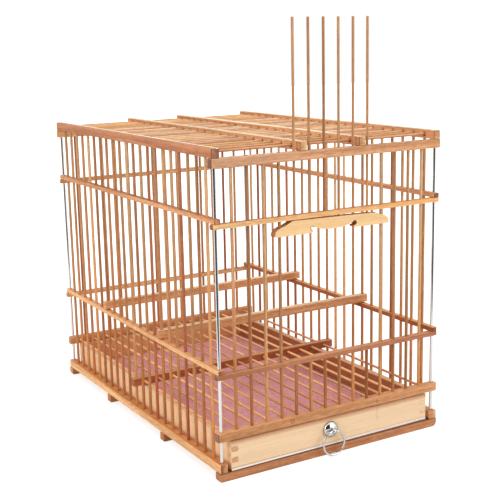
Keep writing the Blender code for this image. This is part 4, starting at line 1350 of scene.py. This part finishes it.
def turned(profile, centre):
    """Spin a profile about the pull's axis."""
    bm = bmesh.new()
    verts = [bm.verts.new((centre.x + r, FACE_Y - d, centre.z)) for r, d in profile]
    edges = [bm.edges.new(pair) for pair in zip(verts, verts[1:])]
    bmesh.ops.spin(
        bm, geom=verts + edges, cent=(centre.x, 0, centre.z), axis=(0, 1, 0), angle=2 * math.pi,
        steps=TURNED_STEPS, use_merge=True)
    bmesh.ops.remove_doubles(bm, verts=bm.verts, dist=0.001 * MM)
    bmesh.ops.recalc_face_normals(bm, faces=bm.faces)
    smooth(bm)
    return bm


knob_low, knob_high = corners("drawer_knob")
profile = pull_profile(FACE_Y - knob_low.y, FACE_Y - knob_high.y)
bore = ((KNOB_X - 4 * MM, EYE_Y, PULL_Z), (KNOB_X + 4 * MM, EYE_Y, PULL_Z))
bm = drilled(turned(profile, Vector((KNOB_X, 0, PULL_Z))), [bore], EYE_BORE, 24)
smooth(bm)
finish_piece("pull_knob", bm, PULL_CHROME, "drawer", ["drawer_knob"])

# %% [markdown]
# Inside the drawer a plain nut holds the shank: a six sided bar, its edges broken, with a round bore.

# %% Nut
NUT = 5.5 * MM
NUT_BORE = 3.1 * MM
NUT_EDGE = 0.25 * MM
low, high = corners("knob_nut")
centre = middle("knob_nut")
bm = bmesh.new()
add_round(bm, Vector((centre.x, low.y, centre.z)), Vector((centre.x, high.y, centre.z)), NUT, FLAT_SIDES)
soften(bm, NUT_EDGE, 1)
bore = ((centre.x, low.y - MM, centre.z), (centre.x, high.y + MM, centre.z))
bm = drilled(bm, [bore], NUT_BORE, 24)
finish_piece("pull_nut", bm, ROD_STEEL, "drawer", ["knob_nut"])

# %% [markdown]
# The ring hangs in the eye. It is a small circle, the section of its wire, spun about the ring's middle.

# %% Ring
bm = bmesh.new()
section = bmesh.ops.create_circle(bm, segments=14, radius=WIRE / 2)["verts"]
ring_centre = Vector((KNOB_X, EYE_Y, PULL_Z - RING_RADIUS))
bmesh.ops.translate(bm, verts=section, vec=(RING_RADIUS, 0, 0))
bmesh.ops.translate(bm, verts=section, vec=ring_centre)
bmesh.ops.spin(
    bm, geom=list(bm.verts) + list(bm.edges), cent=ring_centre, axis=(0, 1, 0), angle=2 * math.pi, steps=72,
    use_merge=True)
bmesh.ops.recalc_face_normals(bm, faces=bm.faces)
smooth(bm)
finish_piece("ring", bm, PULL_CHROME, "ring", ["pull_ring"])

# %% [markdown]
# The studio is plain: a pale floor, an even sky, and three soft lamps. The strongest stands at the left, the
# second at the front right and the weakest above, so that the cage's two seen sides differ a little. The sky
# looks white to the camera, and to metal that mirrors it, through the Light Path node, so the white costs no
# extra light on the wood.

# %% Sky and lamps
SKY = 0.62
WHITE = (1, 1, 1, 1)


def sky():
    world = bpy.context.scene.world or bpy.data.worlds.new("studio")
    bpy.context.scene.world = world
    bench = Bench(world)
    white_for = bench.ray("Camera").highest(bench.ray("Glossy")).highest(bench.ray("Transmission"))
    soft = bench.node("ShaderNodeBackground", None, {"Color": WHITE, "Strength": SKY})
    white = bench.node("ShaderNodeBackground", None, {"Color": WHITE})
    light = bench.node("ShaderNodeMixShader", None, {0: white_for, 1: soft, 2: white})
    output = bench.tree.nodes.new("ShaderNodeOutputWorld")
    bench.feed(output.inputs["Surface"], light)


def softbox(name, place, size, power):
    lamp = bpy.data.lights.new(name, "AREA")
    lamp.shape = "SQUARE"
    lamp.size = size
    lamp.energy = power
    holder = bpy.data.objects.new(name, lamp)
    turn = (CAGE_MIDDLE - Vector(place)).to_track_quat("-Z", "Y").to_matrix().to_4x4()
    holder.matrix_world = Matrix.Translation(Vector(place)) @ turn
    bpy.context.scene.collection.objects.link(holder)


sky()
softbox("left light", (-1.65, -0.35, 0.85), 1.2, 16.0)
softbox("right light", (0.85, -1.55, 0.80), 1.2, 10.0)
softbox("top light", (0.2, 0.3, 1.9), 1.4, 5.5)
print("three lamps and a sky of strength", SKY)

# %% [markdown]
# Polished metal needs something dark to mirror, or it looks like white plastic. Two dark cloths do that: one
# lies on the floor and one hangs upright behind the camera. Only polish and varnish mirror them, since they
# are hidden from the camera, cast no shadow and take no light from the wood.

# %% Dark cloths
CLOTH_DARK = (0.02, 0.025, 0.03, 1)
CLOTH_LIGHT = (0.04, 0.045, 0.05, 1)


def dark_cloth(name, points):
    bench = Finish(name)
    shade = bench.mix(bench.noise(bench.place(), 90, 2), CLOTH_DARK, CLOTH_LIGHT)
    bm = bmesh.new()
    bm.faces.new([bm.verts.new(point) for point in points])
    cloth = shown(name, bm, bench.finish(Base_Color=shade, Roughness=1.0))
    cloth.visible_camera = False
    cloth.visible_diffuse = False
    cloth.visible_shadow = False
    cloth.visible_transmission = False


def out_front(distance, sideways, height):
    """A place so far from the cage towards the camera, and so far to the right of that line."""
    ahead = Vector((CAMERA_PLACE.x, CAMERA_PLACE.y, 0)).normalized()
    return ahead * distance + Vector((-ahead.y, ahead.x, 0)) * sideways + Vector((0, 0, height))


dark_cloth("cloth on the floor", [
    out_front(0.50, -1.3, MM), out_front(0.50, 1.0, MM), out_front(3.6, 4.0, MM), out_front(3.6, -4.0, MM)])
dark_cloth("cloth behind the camera", [
    out_front(1.35, -1.0, 0.02), out_front(1.35, 0.9, 0.02), out_front(1.35, 0.9, 1.4),
    out_front(1.35, -1.0, 1.4)])

# %% [markdown]
# The floor is pale and keeps the cage's shadow. It glows for the camera and, more weakly, for what mirrors
# it, so that it fades to white away from the cage. Diffuse light doesn't see the glow, so it doesn't
# brighten the wood.

# %% Floor
FLOOR_DARK = (0.66, 0.66, 0.66, 1)
FLOOR_LIGHT = (0.70, 0.70, 0.70, 1)
FLOOR_HALF = 6.0
GLOW_NEAR = 0.62
GLOW_MIRRORED = 0.4


def floor_finish():
    bench = Finish("studio floor")
    place = bench.place()
    shade = bench.mix(bench.noise(place, 30, 2), FLOOR_DARK, FLOOR_LIGHT)
    seen_by = bench.ray("Camera") + bench.ray("Glossy") * GLOW_MIRRORED + bench.ray("Transmission")
    glow = seen_by * (GLOW_NEAR + place.length().between(0.3, 1.0) * (1 - GLOW_NEAR))
    light = bench.node("ShaderNodeEmission", None, {"Strength": glow})
    pale = Wire(bench, bench.shader.outputs[0])
    bench.feed(bench.output.inputs[0], bench.node("ShaderNodeAddShader", None, {0: pale, 1: light}))
    return bench.finish(Base_Color=shade, Roughness=0.9)


bm = bmesh.new()
bmesh.ops.create_grid(bm, x_segments=1, y_segments=1, size=FLOOR_HALF)
shown("floor", bm, floor_finish())
bpy.context.scene.view_settings.view_transform = "Standard"
print("the floor reaches", FLOOR_HALF, "m from the cage on all sides")
